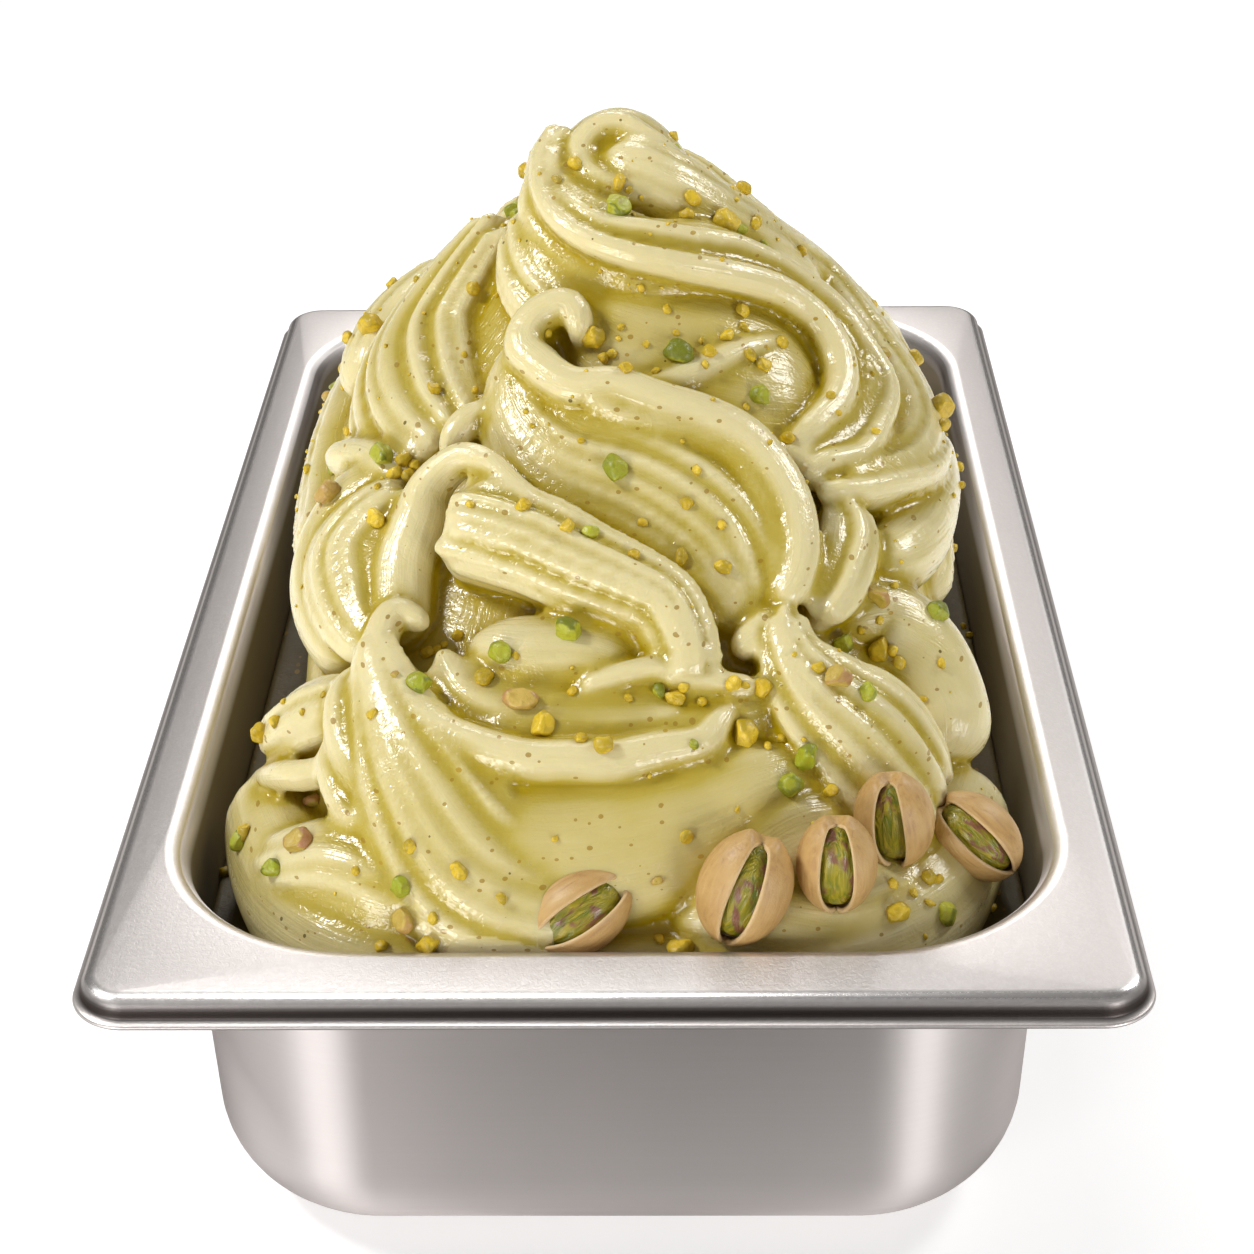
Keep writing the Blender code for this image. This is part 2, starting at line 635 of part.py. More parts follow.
def core_shape():
    """The mound itself, under the folds."""
    top = MOUND[-1].height
    heights = np.linspace(MOUND[0].height + 1, top - 0.4, 50)
    angles = np.linspace(-math.pi, math.pi, 96, endpoint=False)
    rings = [mound_point(angles, np.full(96, z), -min(CORE_INSET, max(0.5, (top - z) * 0.35))) for z in heights]
    return np.vstack(rings), tube_faces(len(heights), len(angles))


def fold_run(fold):
    """Lay a fold's middle line on the mound."""
    coarse = np.linspace(0, 1, 60)
    stations = through(fold.path, coarse)
    line = mound_point(np.radians(stations[:, 0]), stations[:, 1])
    reached = np.concatenate([[0.0], np.cumsum(np.linalg.norm(np.diff(line, axis=0), axis=1))])
    distance = np.linspace(0, reached[-1], max(8, int(reached[-1] / STEP)))
    at = np.interp(distance, reached, coarse)
    stations = through(fold.path, at)
    angle, height = np.radians(stations[:, 0]), stations[:, 1]
    width, thick, rise, lean = (
        through(v, at)[:, 0] for v in (fold.width, fold.thick, fold.rise, np.radians(fold.lean))
    )
    out = mound_normal(angle, height)
    centre = mound_point(angle, height) + out * (rise - thick)[:, None]
    ahead = unit(np.gradient(centre, axis=0))
    out = unit(out - ahead * np.sum(out * ahead, axis=1, keepdims=True))
    side = np.cross(out, ahead)
    across = side * np.cos(lean)[:, None] + out * np.sin(lean)[:, None]
    upright = out * np.cos(lean)[:, None] - side * np.sin(lean)[:, None]
    return Run(distance, centre, across, upright, width, thick)


def swept_oval(run, columns, ends, ridges, start=0.0):
    """A closed oval roll along a line, rounded off at both ends, with ridges on its top."""
    nose = np.clip(1 - (run.distance - start) / ends[0], 0, 1)
    tail = np.clip(1 - (run.distance[-1] - run.distance) / ends[1], 0, 1)
    taper = np.maximum(np.sqrt(1 - np.maximum(nose, tail) ** 2), 0.03)
    turn = np.linspace(0, 2 * math.pi, columns, endpoint=False)
    sideways = (run.width * taper)[:, None] * np.cos(turn)[None, :]
    upward = (run.thick * taper)[:, None] * np.sin(turn)[None, :] + taper[:, None] * ridges[None, :]
    points = (
        run.centre[:, None, :]
        + run.across[:, None, :] * sideways[:, :, None]
        + run.upright[:, None, :] * upward[:, :, None]
    )
    return points.reshape(-1, 3), tube_faces(len(run.distance), columns)


def strand_shape(fold, run, rank, number):
    """One of the rolls that lie side by side on top of a fold."""
    uneven = math.sin(2.1 * rank + 3.3 * number)
    turn = math.pi * (0.1 + 0.8 * (rank + 0.5 + 0.16 * uneven) / fold.ribs)
    over, lift = math.cos(turn), math.sin(turn)
    width, thick = run.width[:, None], run.thick[:, None]
    outward = unit(run.across * over / width + run.upright * lift / thick)
    spacing = 0.8 * math.pi / fold.ribs * np.hypot(run.width * lift, run.thick * over)
    half = 0.58 * spacing * (1 + 0.14 * uneven)
    deep = np.full_like(half, fold.groove / 0.58 * (1 + 0.18 * math.sin(1.7 * rank + number)))
    surface = run.centre + run.across * width * over + run.upright * thick * lift
    centre = surface + outward * (0.9 * fold.groove - deep)[:, None]
    ahead = unit(np.gradient(centre, axis=0))
    laid = Run(run.distance, centre, unit(np.cross(outward, ahead)), outward, half, deep)
    stagger = 1.6 + 1.4 * math.sin(2.4 * rank + number)
    return swept_oval(laid, 12, (half[0] * 1.4, half[-1] * 2.2), np.zeros(12), stagger)


def fold_shapes(fold, number):
    """A fold: its ribbed roll, and its strands where it has them."""
    run = fold_run(fold)
    columns = max(20, 10 * fold.ribs)
    turn = np.linspace(0, 2 * math.pi, columns, endpoint=False)
    ridges = np.zeros(columns)
    if fold.ribs and not fold.strands:
        uneven = np.cos(turn) + 0.1 * np.sin(2.6 * np.cos(turn) + 1)
        valley = np.abs(np.sin(math.pi * fold.ribs * (uneven + 1) / 2)) - 1
        ridges = fold.groove * valley * np.sqrt(np.clip(np.sin(turn), 0, 1))
    shapes = [swept_oval(run, columns, fold.ends, ridges)]
    if fold.strands:
        shapes += [strand_shape(fold, run, rank, number) for rank in range(fold.ribs)]
    return shapes


def joined_mesh(name, shapes):
    """Several closed shapes in one mesh."""
    points, faces, first = [], [], 0
    for shape_points, shape_faces in shapes:
        points.append(shape_points)
        faces += [tuple(first + i for i in face) for face in shape_faces]
        first += len(shape_points)
    return mesh_from(name, np.vstack(points), faces)


def bake_modifiers(obj):
    """Turn an object's modifiers into its mesh."""
    graph = bpy.context.evaluated_depsgraph_get()
    mesh = bpy.data.meshes.new_from_object(obj.evaluated_get(graph))
    obj.modifiers.clear()
    obj.data = mesh


def cut(obj, other, operation, solver="EXACT"):
    """Apply a Boolean with another object, which is then removed."""
    modifier = obj.modifiers.new(operation.lower(), "BOOLEAN")
    modifier.operation = operation
    modifier.solver = solver
    modifier.object = other
    bake_modifiers(obj)
    bpy.data.objects.remove(other)


def keep_outer_body(obj):
    """Fill sealed hollows and drop loose scraps: keep the one largest body."""
    bm = bmesh.new()
    bm.from_mesh(obj.data)
    left, bodies = set(bm.verts), []
    while left:
        body, edge = set(), [left.pop()]
        while edge:
            vert = edge.pop()
            body.add(vert)
            near = {e.other_vert(vert) for e in vert.link_edges} & left
            left -= near
            edge += near
        bodies.append(body)
    bodies.sort(key=len)
    bmesh.ops.delete(bm, geom=[v for body in bodies[:-1] for v in body], context="VERTS")
    bmesh.ops.dissolve_degenerate(bm, edges=bm.edges, dist=0.01 * MM)
    bmesh.ops.triangulate(bm, faces=bm.faces)
    bm.to_mesh(obj.data)
    bm.free()


def make_gelato(finish):
    """The filled block, the mound and its folds as one body, trimmed to the pan."""
    shapes = [block_shape(), core_shape()]
    for number, fold in enumerate(FOLDS.values(), 1):
        shapes += fold_shapes(fold, number)
    obj = add_object("gelato", joined_mesh("gelato", shapes))
    remesh = obj.modifiers.new("merge", "REMESH")
    remesh.mode = "VOXEL"
    remesh.voxel_size = VOXEL * MM
    smooth = obj.modifiers.new("soften", "SMOOTH")
    smooth.factor = 0.5
    smooth.iterations = 1
    bake_modifiers(obj)
    keep_outer_body(obj)
    decimate = obj.modifiers.new("simplify", "DECIMATE")
    decimate.ratio = BODY_TRIANGLES / len(obj.data.polygons)
    bake_modifiers(obj)
    cut(obj, make_cavity(), "INTERSECT")
    for nut in NUTS:
        seat = ellipsoid_points([half + GAP for half in NUT_HALF], 8, 12)
        cut(obj, add_object("seat", placed_mesh("seat", nut, *seat)), "DIFFERENCE")
    keep_outer_body(obj)
    obj.data.materials.clear()
    obj.data.materials.append(finish)
    obj.data.shade_smooth()
    return obj


# Chopped pistachio


def near_nut(point, reach):
    """Whether a point is within reach of a pistachio's surface, in millimetres."""
    return any((point - Vector(nut.centre)).length < max(NUT_HALF) + reach for nut in NUTS)


def bit_places(tree, rng):
    """Where bits lie on the gelato: the large ones first, then scattered ones."""
    wanted = list(LARGE_BITS)
    for _ in range(SCATTERED_BITS * 3):
        wanted.append(Bit(rng.uniform(-180, 180), rng.uniform(68, 142), rng.uniform(3.0, 4.0)))
    placed = []
    for bit in wanted:
        if len(placed) >= len(LARGE_BITS) + SCATTERED_BITS:
            break
        angle, height = np.array([math.radians(bit.angle)]), np.array([bit.height])
        out = Vector(mound_normal(angle, height)[0])
        start = Vector(mound_point(angle, height)[0]) + out * 30
        hit, normal, _, _ = tree.ray_cast(start * MM, -out)
        if hit is None:
            continue
        point = hit / MM
        crowded = any((point - other).length < BIT_SPACING for other, _, _ in placed)
        by_wall = abs(point.x) > 60 or abs(point.y) > 112
        if crowded or by_wall or near_nut(point, bit.size):
            continue
        placed.append((point, normal, bit.size))
    return placed


def bit_mesh(size, normal, rng):
    """An uneven chip with flat faces, longer than it is thick."""
    bm = bmesh.new()
    bmesh.ops.create_icosphere(bm, subdivisions=1, radius=size / 2 * MM)
    stretch = Vector((rng.uniform(0.85, 1.15), rng.uniform(0.7, 0.95), rng.uniform(0.6, 0.8)))
    spin = normal.to_track_quat("Z", "Y").to_matrix() @ Matrix.Rotation(rng.uniform(0, 6.28), 3, "Z")
    for vert in bm.verts:
        jitter = Vector(rng.uniform(0.85, 1.1, 3))
        vert.co = spin @ (vert.co * stretch * jitter)
    mesh = bpy.data.meshes.new("bit")
    bm.to_mesh(mesh)
    bm.free()
    return mesh


def fuse_bits(gelato):
    """Set the chopped pistachio into the gelato and make one body of it all."""
    rng = np.random.default_rng(BIT_SEED)
    bm = bmesh.new()
    bm.from_mesh(gelato.data)
    tree = BVHTree.FromBMesh(bm)
    bm.free()
    bits = bpy.data.collections.new("bits")
    bpy.context.scene.collection.children.link(bits)
    for point, normal, size in bit_places(tree, rng):
        obj = bpy.data.objects.new("bit", bit_mesh(size, normal, rng))
        obj.location = (point + normal * size * 0.12) * MM
        bits.objects.link(obj)
    bpy.context.view_layer.update()
    union = gelato.modifiers.new("fuse", "BOOLEAN")
    union.operation = "UNION"
    union.solver = "EXACT"
    union.operand_type = "COLLECTION"
    union.collection = bits
    bake_modifiers(gelato)
    for obj in list(bits.objects):
        bpy.data.objects.remove(obj)
    bpy.data.collections.remove(bits)
    keep_outer_body(gelato)
    gelato.data.shade_smooth()
    gelato.data.set_sharp_from_angle(angle=math.radians(50))


# Pistachios in the shell


def nut_turn(nut):
    """The rotation that takes the nut's own axes to the frame: Z along it, Y out of its slit."""
    along = Vector(nut.axis).normalized()
    facing = Vector(nut.facing)
    facing = (facing - along * facing.dot(along)).normalized()
    across = facing.cross(along)
    return Matrix((across, facing, along)).transposed()


def placed_mesh(name, nut, points, faces):
    """A mesh in the nut's own axes, moved to the nut's place."""
    turn, centre = nut_turn(nut), Vector(nut.centre)
    moved = [centre + turn @ (Vector(p) * nut.scale) for p in points]
    return mesh_from(name, moved, faces)


def ellipsoid_points(half, rows, columns):
    """A closed ellipsoid of rings between two poles."""
    points = [(0, 0, -half[2])]
    for row in range(1, rows):
        polar = math.pi * row / rows
        for column in range(columns):
            turn = 2 * math.pi * column / columns
            x = half[0] * math.sin(polar) * math.sin(turn)
            y = half[1] * math.sin(polar) * math.cos(turn)
            points.append((x, y, -half[2] * math.cos(polar)))
    points.append((0, 0, half[2]))
    last = len(points) - 1
    faces = []
    for column in range(columns):
        beside = (column + 1) % columns
        faces.append((0, 1 + beside, 1 + column))
        faces.append((last, last - columns + column, last - columns + beside))
        for row in range(rows - 2):
            low, high = 1 + row * columns, 1 + (row + 1) * columns
            faces.append((low + column, low + beside, high + beside, high + column))
    return points, faces


def shell_side(half, half_slit, row, side_points):
    """One row of shell points, from one lip of the slit round the back to the other."""
    polar = math.pi * row / NUT_ROWS
    reach = math.sin(polar)
    slit = half_slit * reach**1.5
    start = math.asin(min(0.9, slit / (half[0] * reach)))
    points = []
    for column in range(side_points):
        turn = start + (2 * math.pi - 2 * start) * column / (side_points - 1)
        points.append((
            half[0] * reach * math.sin(turn),
            half[1] * reach * math.cos(turn),
            -half[2] * math.cos(polar),
        ))
    return points


def shell_shape(half_slit):
    """The split shell: two thin walls that meet at both ends of the slit."""
    inner = [half - SHELL_WALL for half in NUT_HALF]
    columns = NUT_COLUMNS + 1
    points, starts = [], []
    for half in (NUT_HALF, inner):
        starts.append(len(points))
        points.append((0, 0, -half[2]))
        for row in range(1, NUT_ROWS):
            points += shell_side(half, half_slit, row, columns)
        points.append((0, 0, half[2]))
    wall_points = len(points) // 2

    def index(wall, row, column):
        """A point of the outer (0) or inner (1) wall; the end rows are single points."""
        if row == 0:
            return starts[wall]
        if row == NUT_ROWS:
            return starts[wall] + wall_points - 1
        return starts[wall] + 1 + (row - 1) * columns + column

    faces = []
    for row in range(NUT_ROWS):
        for wall in (0, 1):
            for column in range(NUT_COLUMNS):
                corners = (
                    index(wall, row, column), index(wall, row, column + 1),
                    index(wall, row + 1, column + 1), index(wall, row + 1, column),
                )
                faces.append(tuple(dict.fromkeys(corners)))
        for column in (0, NUT_COLUMNS):
            faces.append((
                index(0, row, column), index(0, row + 1, column),
                index(1, row + 1, column), index(1, row, column),
            ))
    return points, faces


def make_nuts(shell_finish, kernel_finish):
    """Each pistachio's split shell and the kernel inside it."""
    for number, nut in enumerate(NUTS, 1):
        for name, shape, finish in (
            (f"pistachio_shell_{number}", shell_shape(nut.slit), shell_finish),
            (f"pistachio_kernel_{number}", ellipsoid_points(KERNEL_HALF, 7, 9), kernel_finish),
        ):
            mesh = placed_mesh(name, nut, *shape)
            mesh.shade_smooth()
            mesh.set_sharp_from_angle(angle=math.radians(50))
            add_object(name, mesh, finish)


def main():
    """Build the pan, the gelato in it and the pistachios on it."""
    clear_scene()
    make_pan(material("steel", (0.66, 0.63, 0.61), 0.32, 1.0))
    gelato = make_gelato(material("pistachio_gelato", (0.70, 0.66, 0.30), 0.30))
    fuse_bits(gelato)
    make_nuts(
        material("pistachio_shell", (0.66, 0.46, 0.27), 0.55),
        material("pistachio_kernel", (0.27, 0.34, 0.05), 0.35),
    )


main()
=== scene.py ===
"""Looks of a stainless-steel pan heaped with pistachio gelato.

The frame's origin is at the centre of the pan's flat base: +X across the pan,
+Y along it to the back and +Z up.  Shapes are worked out in millimetres and
turned into metres where a mesh is made.

The gelato is laid the way it is served: a block fills the pan, a mound stands
on it, and thick ribbed folds lie over the mound.  A place on the mound is an
angle round it from the front, positive to the right, and a height.
"""

import json
import logging
import math
from dataclasses import astuple, dataclass
from enum import Enum
from typing import Any, Mapping, Sequence, Union

import bmesh
import bpy
import numpy as np
from mathutils import Matrix, Vector
from mathutils.bvhtree import BVHTree

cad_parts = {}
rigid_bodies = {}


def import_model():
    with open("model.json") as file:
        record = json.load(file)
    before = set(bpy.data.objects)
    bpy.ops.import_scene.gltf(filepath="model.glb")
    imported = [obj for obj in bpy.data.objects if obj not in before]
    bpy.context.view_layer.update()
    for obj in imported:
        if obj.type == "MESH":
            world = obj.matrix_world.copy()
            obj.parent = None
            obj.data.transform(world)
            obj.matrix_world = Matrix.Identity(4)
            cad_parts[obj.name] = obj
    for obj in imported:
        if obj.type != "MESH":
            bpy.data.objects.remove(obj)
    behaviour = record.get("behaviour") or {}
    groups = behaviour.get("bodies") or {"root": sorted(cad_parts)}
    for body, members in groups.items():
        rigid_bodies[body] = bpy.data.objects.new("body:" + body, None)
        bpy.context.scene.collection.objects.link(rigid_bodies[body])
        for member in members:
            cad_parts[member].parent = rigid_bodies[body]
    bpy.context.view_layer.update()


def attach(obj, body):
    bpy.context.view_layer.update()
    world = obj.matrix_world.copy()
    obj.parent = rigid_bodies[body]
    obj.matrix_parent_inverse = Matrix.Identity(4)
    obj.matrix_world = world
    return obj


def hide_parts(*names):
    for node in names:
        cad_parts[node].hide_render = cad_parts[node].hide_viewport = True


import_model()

LOG = logging.getLogger("gelato_pan")

MM = 0.001
GAP = 0.3

Colour = tuple[float, float, float]
Faces = list[tuple[int, ...]]
Point = tuple[float, float, float]
Socket = Union[str, int]


# Shader graphs


class Value:
    """One socket of a finish's graph, so that shader maths reads as plain sums."""

    def __init__(self, graph: "Graph", socket: bpy.types.NodeSocket) -> None:
        """Keep the socket and the graph that it belongs to."""
        self.graph = graph
        self.socket = socket

    def _math(self, operation: str, first: "Number", second: "Number") -> "Value":
        """Add one Math node."""
        return self.graph.node("ShaderNodeMath", {"operation": operation}, {0: first, 1: second})

    def __add__(self, other: "Number") -> "Value":
        """This value plus another."""
        return self._math("ADD", self, other)

    def __radd__(self, other: float) -> "Value":
        """A number plus this value."""
        return self._math("ADD", other, self)

    def __sub__(self, other: "Number") -> "Value":
        """This value less another."""
        return self._math("SUBTRACT", self, other)

    def __rsub__(self, other: float) -> "Value":
        """A number less this value."""
        return self._math("SUBTRACT", other, self)

    def __mul__(self, other: "Number") -> "Value":
        """This value times another."""
        return self._math("MULTIPLY", self, other)

    def __rmul__(self, other: float) -> "Value":
        """A number times this value."""
        return self._math("MULTIPLY", other, self)

    def __lt__(self, other: "Number") -> "Value":
        """One where this value is below another, else nought."""
        return self._math("LESS_THAN", self, other)

    def between(self, low: float, high: float) -> "Value":
        """This value stretched so that low is nought and high is one, and no further."""
        inputs = {"Value": self, "From Min": low, "From Max": high}
        return self.graph.node("ShaderNodeMapRange", {"interpolation_type": "SMOOTHSTEP"}, inputs)

    def beside(self, output: Socket) -> "Value":
        """Another output of the same node."""
        return Value(self.graph, self.socket.node.outputs[output])


Number = Union[Value, float]


class Graph:
    """The node graph of one finish."""

    def __init__(self, name: str) -> None:
        """Start a material whose one shader is a Principled BSDF.

        Args:
            name: the finish's name.
        """
        self.material = bpy.data.materials.new(name)
        self.material.use_nodes = True
        self.tree = self.material.node_tree
        self.shader = self.tree.nodes["Principled BSDF"]

    def node(
        self, kind: str, settings: Mapping[str, Any], inputs: Mapping[Socket, Any], output: Socket = 0
    ) -> Value:
        """Add a node of any kind.

        Args:
            kind: the node's Blender type.
            settings: its own settings; stops holds a ramp's places and colours.
            inputs: values or links for its sockets, by name or number.
            output: the socket that is wanted back.

        Returns:
            The wanted output.
        """
        made = self.tree.nodes.new(kind)
        for name, value in settings.items():
            if name == "stops":
                self._set_stops(made.color_ramp, value)
            else:
                setattr(made, name, value)
        for name, value in inputs.items():
            self.join(made.inputs[name], value)
        return Value(self, made.outputs[output])

    @staticmethod
    def _set_stops(ramp: bpy.types.ColorRamp, stops: Sequence[tuple[float, Colour]]) -> None:
        """Give a ramp its colours."""
        while len(ramp.elements) < len(stops):
            ramp.elements.new(1.0)
        for element, (place, colour) in zip(ramp.elements, stops):
            element.position = place
            element.color = (*colour, 1.0)

    def join(self, socket: bpy.types.NodeSocket, value: Any) -> None:
        """Link a value to a socket, or set the socket to a number or colour."""
        if isinstance(value, Value):
            self.tree.links.new(value.socket, socket)
        elif isinstance(value, tuple) and socket.type == "RGBA":
            socket.default_value = (*value, 1.0)
        else:
            socket.default_value = value

    def set(self, **inputs: Any) -> None:
        """Feed the shader's sockets; an underscore stands for a space."""
        for name, value in inputs.items():
            self.join(self.shader.inputs[name.replace("_", " ")], value)

    def attribute(self, name: str) -> Value:
        """A number stored on the mesh."""
        return self.node("ShaderNodeAttribute", {"attribute_name": name}, {}, "Fac")

    def direction(self, name: str) -> Value:
        """A vector stored on the mesh."""
        return self.node("ShaderNodeAttribute", {"attribute_name": name}, {}, "Vector")

    def place(self) -> Value:
        """The place on the object, in metres."""
        return self.node("ShaderNodeTexCoord", {}, {}, "Object")

    def stretched(self, vector: Value, scale: Point) -> Value:
        """A vector scaled along each axis."""
        return self.node("ShaderNodeVectorMath", {"operation": "MULTIPLY"}, {0: vector, 1: scale})

    def vector(self, x: Number, y: Number, z: Number = 0.0) -> Value:
        """A vector from three numbers."""
        return self.node("ShaderNodeCombineXYZ", {}, {"X": x, "Y": y, "Z": z})

    def noise(self, vector: Value, scale: float, detail: float = 2.0, distortion: float = 0.0) -> Value:
        """Soft noise from 0 to 1."""
        inputs = {"Vector": vector, "Scale": scale, "Detail": detail, "Distortion": distortion}
        return self.node("ShaderNodeTexNoise", {}, inputs)

    def specks(self, vector: Value, scale: float, radius: float, share: float) -> Value:
        """A mask of small separate specks.

        Args:
            vector: where the specks are looked up.
            scale: cells to a metre.
            radius: a speck's size, as a share of its cell.
            share: the share of cells that hold one.

        Returns:
            One inside a speck, nought outside.
        """
        reach = self.node("ShaderNodeTexVoronoi", {}, {"Vector": vector, "Scale": scale}, "Distance")
        chance = self.node("ShaderNodeSeparateColor", {}, {0: reach.beside("Color")})
        size = chance.beside(1)
        return (reach < size * radius) * (chance < share)

    def blend(self, amount: Number, first: Any, second: Any, kind: str = "MIX") -> Value:
        """A mix of two colours."""
        settings = {"data_type": "RGBA", "blend_type": kind, "clamp_factor": True}
        return self.node("ShaderNodeMix", settings, {0: amount, 6: first, 7: second}, 2)

    def ramp(self, amount: Value, stops: Sequence[tuple[float, Colour]]) -> Value:
        """A colour looked up along a row of stops."""
        return self.node("ShaderNodeValToRGB", {"stops": stops}, {0: amount})

    def bump(self, height: Value) -> Value:
        """A surface direction from a height in millimetres."""
        return self.node("ShaderNodeBump", {}, {"Height": height, "Distance": MM})


# Finishes


@dataclass(frozen=True)
class SatinSteel:
    """Sheet steel with a fine satin grain, edges worn smoother and painted brighter as a highlight, and a
    dark reflection painted under its rim.
    """

    tint: Colour = (0.62, 0.575, 0.555)
    # painted highlight: the brighter colour that the worn edges are painted
    painted_highlight_tint: Colour = (0.80, 0.77, 0.75)
    # painted dark reflection: the near-black colour painted on the band under the rim
    painted_dark_reflection_tint: Colour = (0.045, 0.037, 0.034)
    grazing: Colour = (0.62, 0.59, 0.57)
    roughness: float = 0.38
    edge_roughness: float = 0.15

    def make(self) -> bpy.types.Material:
        """Build the material."""
        graph = Graph("pan_satin_steel")
        place = graph.place()
        rubbed = graph.attribute("rubbed")
        grain = graph.noise(place, 1500.0, 3.0, 1.2)
        cloud = graph.noise(place, 22.0, 3.0)
        scratch = graph.noise(graph.stretched(place, (60.0, 1900.0, 60.0)), 1.0, 2.0)
        tint = graph.blend(cloud.between(0.3, 0.75) * 0.5, self.tint, (0.55, 0.52, 0.50))
        tint = graph.blend(grain.between(0.35, 0.8) * 0.4, tint, (0.74, 0.71, 0.69))
        # painted highlight: worn edges are painted brighter; below they are also made smoother and less rough
        tint = graph.blend(rubbed, tint, self.painted_highlight_tint)
        polish = rubbed * (self.roughness - self.edge_roughness)
        graph.set(
            # painted dark reflection: the band under the rim is painted near black
            Base_Color=graph.blend(graph.attribute("seam"), tint, self.painted_dark_reflection_tint),
            Metallic=1.0,
            Roughness=self.roughness + cloud * 0.06 + grain * 0.08 - polish,
            Specular_Tint=self.grazing,
            Normal=graph.bump((grain * 0.034 + scratch * 0.006) * (1.0 - rubbed * 0.85)),
        )
        return graph.material


@dataclass(frozen=True)
class BrushedSteel:
    """Drawn sheet steel whose fine lines spread highlights, with painted shade and a painted reflection of
    the gelato darkening its inside wall.
    """

    tint: Colour = (0.60, 0.555, 0.54)
    # painted shade: the dark olive painted on the inside wall, standing in for shade in the gap and the
    # gelato it reflects
    painted_wall_shade: Colour = (0.105, 0.068, 0.003)
    grazing: Colour = (0.14, 0.12, 0.12)
    roughness: float = 0.40

    def make(self) -> bpy.types.Material:
        """Build the material."""
        graph = Graph("pan_brushed_steel")
        place = graph.place()
        lines = graph.noise(graph.stretched(place, (25.0, 25.0, 1600.0)), 1.0, 3.0)
        cloud = graph.noise(place, 18.0, 3.0)
        tint = graph.blend(cloud.between(0.3, 0.75) * 0.4, self.tint, (0.54, 0.515, 0.50))
        tint = graph.blend(lines.between(0.3, 0.8) * 0.14, tint, (0.70, 0.67, 0.65))
        # painted shade on the inside wall below the flange; it also makes the steel there less metallic
        filmed = graph.attribute("filmed")
        graph.set(
            Base_Color=graph.blend(filmed * (0.80 + cloud * 0.2), tint, self.painted_wall_shade),
            Metallic=1.0 - filmed * 0.85,
            Roughness=self.roughness + cloud * 0.05 + lines * 0.06,
            Anisotropic=0.85,
            Anisotropic_Rotation=0.25,
            Specular_IOR_Level=0.1,
            Specular_Tint=self.grazing,
            Normal=graph.bump(lines * 0.004),
        )
        return graph.material


@dataclass(frozen=True)
class GroundNut:
    """One sort of speck in the gelato: its grid, its size and share of the grid's cells, and its colour."""

    stretch: Point
    cells: float
    radius: float
    share: float
    strength: float
    tint: Colour


@dataclass(frozen=True)
class WetGelato:
    """Pale yellow-green gelato with ground nut in it: painted light pales its crests, painted shade darkens
    and yellows its creases and the gelato low beside the pan's wall.
    """

    # painted light and shade: the paler colour painted on crests, the middle one, and the darker, richer one
    # painted in creases
    crest: Colour = (0.74, 0.65, 0.35)
    body: Colour = (0.50, 0.392, 0.068)
    crease: Colour = (0.40, 0.28, 0.002)
    # painted shade: dark olive painted on the gelato low down beside the pan's wall, fading out between the
    # two heights below
    sunk: Colour = (0.10, 0.062, 0.001)
    painted_shade_below: float = 0.0505
    painted_shade_clear_above: float = 0.0600
    ground_nut: tuple[GroundNut, ...] = (
        GroundNut((1.0, 0.55, 1.6), 430.0, 0.24, 0.62, 0.75, (0.34, 0.20, 0.015)),
        GroundNut((1.0, 0.55, 1.6), 250.0, 0.13, 0.50, 0.80, (0.44, 0.27, 0.02)),
        GroundNut((1.0, 1.0, 1.0), 250.0, 0.10, 0.22, 0.85, (0.12, 0.085, 0.01)),
    )

    def make(self) -> bpy.types.Material:
        """Build the material."""
        graph = Graph("pistachio_gelato")
        across = graph.attribute("across")
        along = graph.attribute("along")
        deep = graph.attribute("deep")
        even = graph.attribute("even")
        place = graph.place()
        combed = graph.noise(graph.vector(across * 0.75, along * 0.045), 1.0, 2.0, 0.4)
        threads = graph.noise(graph.vector(across * 2.1, along * 0.11, 7.0), 1.0, 2.0, 0.5)
        height = graph.node("ShaderNodeSeparateXYZ", {}, {0: place}, 2)
        wrinkle = graph.noise(place, 760.0, 2.0, 1.5)
        ripple = graph.noise(place, 260.0, 2.0, 1.2)
        grit = graph.noise(place, 2100.0, 2.0, 0.8)
        # painted shade: one below the lower height, nought above the upper; it also makes the gelato there
        # rougher
        sunk = 1.0 - height.between(self.painted_shade_below, self.painted_shade_clear_above)
        cloud = graph.noise(place, 45.0, 3.0)

        # painted light and shade: colour paled on crests and darkened and yellowed in creases, by how deep in
        # a crease each place lies
        depth = deep + (cloud - 0.5) * 0.25
        tint = graph.ramp(depth, ((0.22, self.crest), (0.50, self.body), (0.80, self.crease)))
        tint = graph.blend(threads.between(0.55, 0.8) * 0.07, tint, (0.86, 0.80, 0.55))
        # painted shade low beside the pan's wall
        tint = graph.blend(sunk * 0.9, tint, self.sunk)
        for nut in self.ground_nut:
            mask = graph.specks(graph.stretched(place, nut.stretch), nut.cells, nut.radius, nut.share)
            tint = graph.blend(mask * nut.strength, tint, nut.tint)
        relief = (combed * 0.19 + threads * 0.09) * even + ripple * 0.17 + wrinkle * 0.07 + grit * 0.008
        graph.set(
            Base_Color=tint,
            Roughness=0.11 + threads * 0.06 + wrinkle * 0.16 + sunk * 0.35,
            Subsurface_Weight=0.35,
            Subsurface_Radius=(1.0, 0.72, 0.22),
            Subsurface_Scale=0.0035,
            Specular_IOR_Level=0.62,
            Normal=graph.bump(relief),
        )
        return graph.material


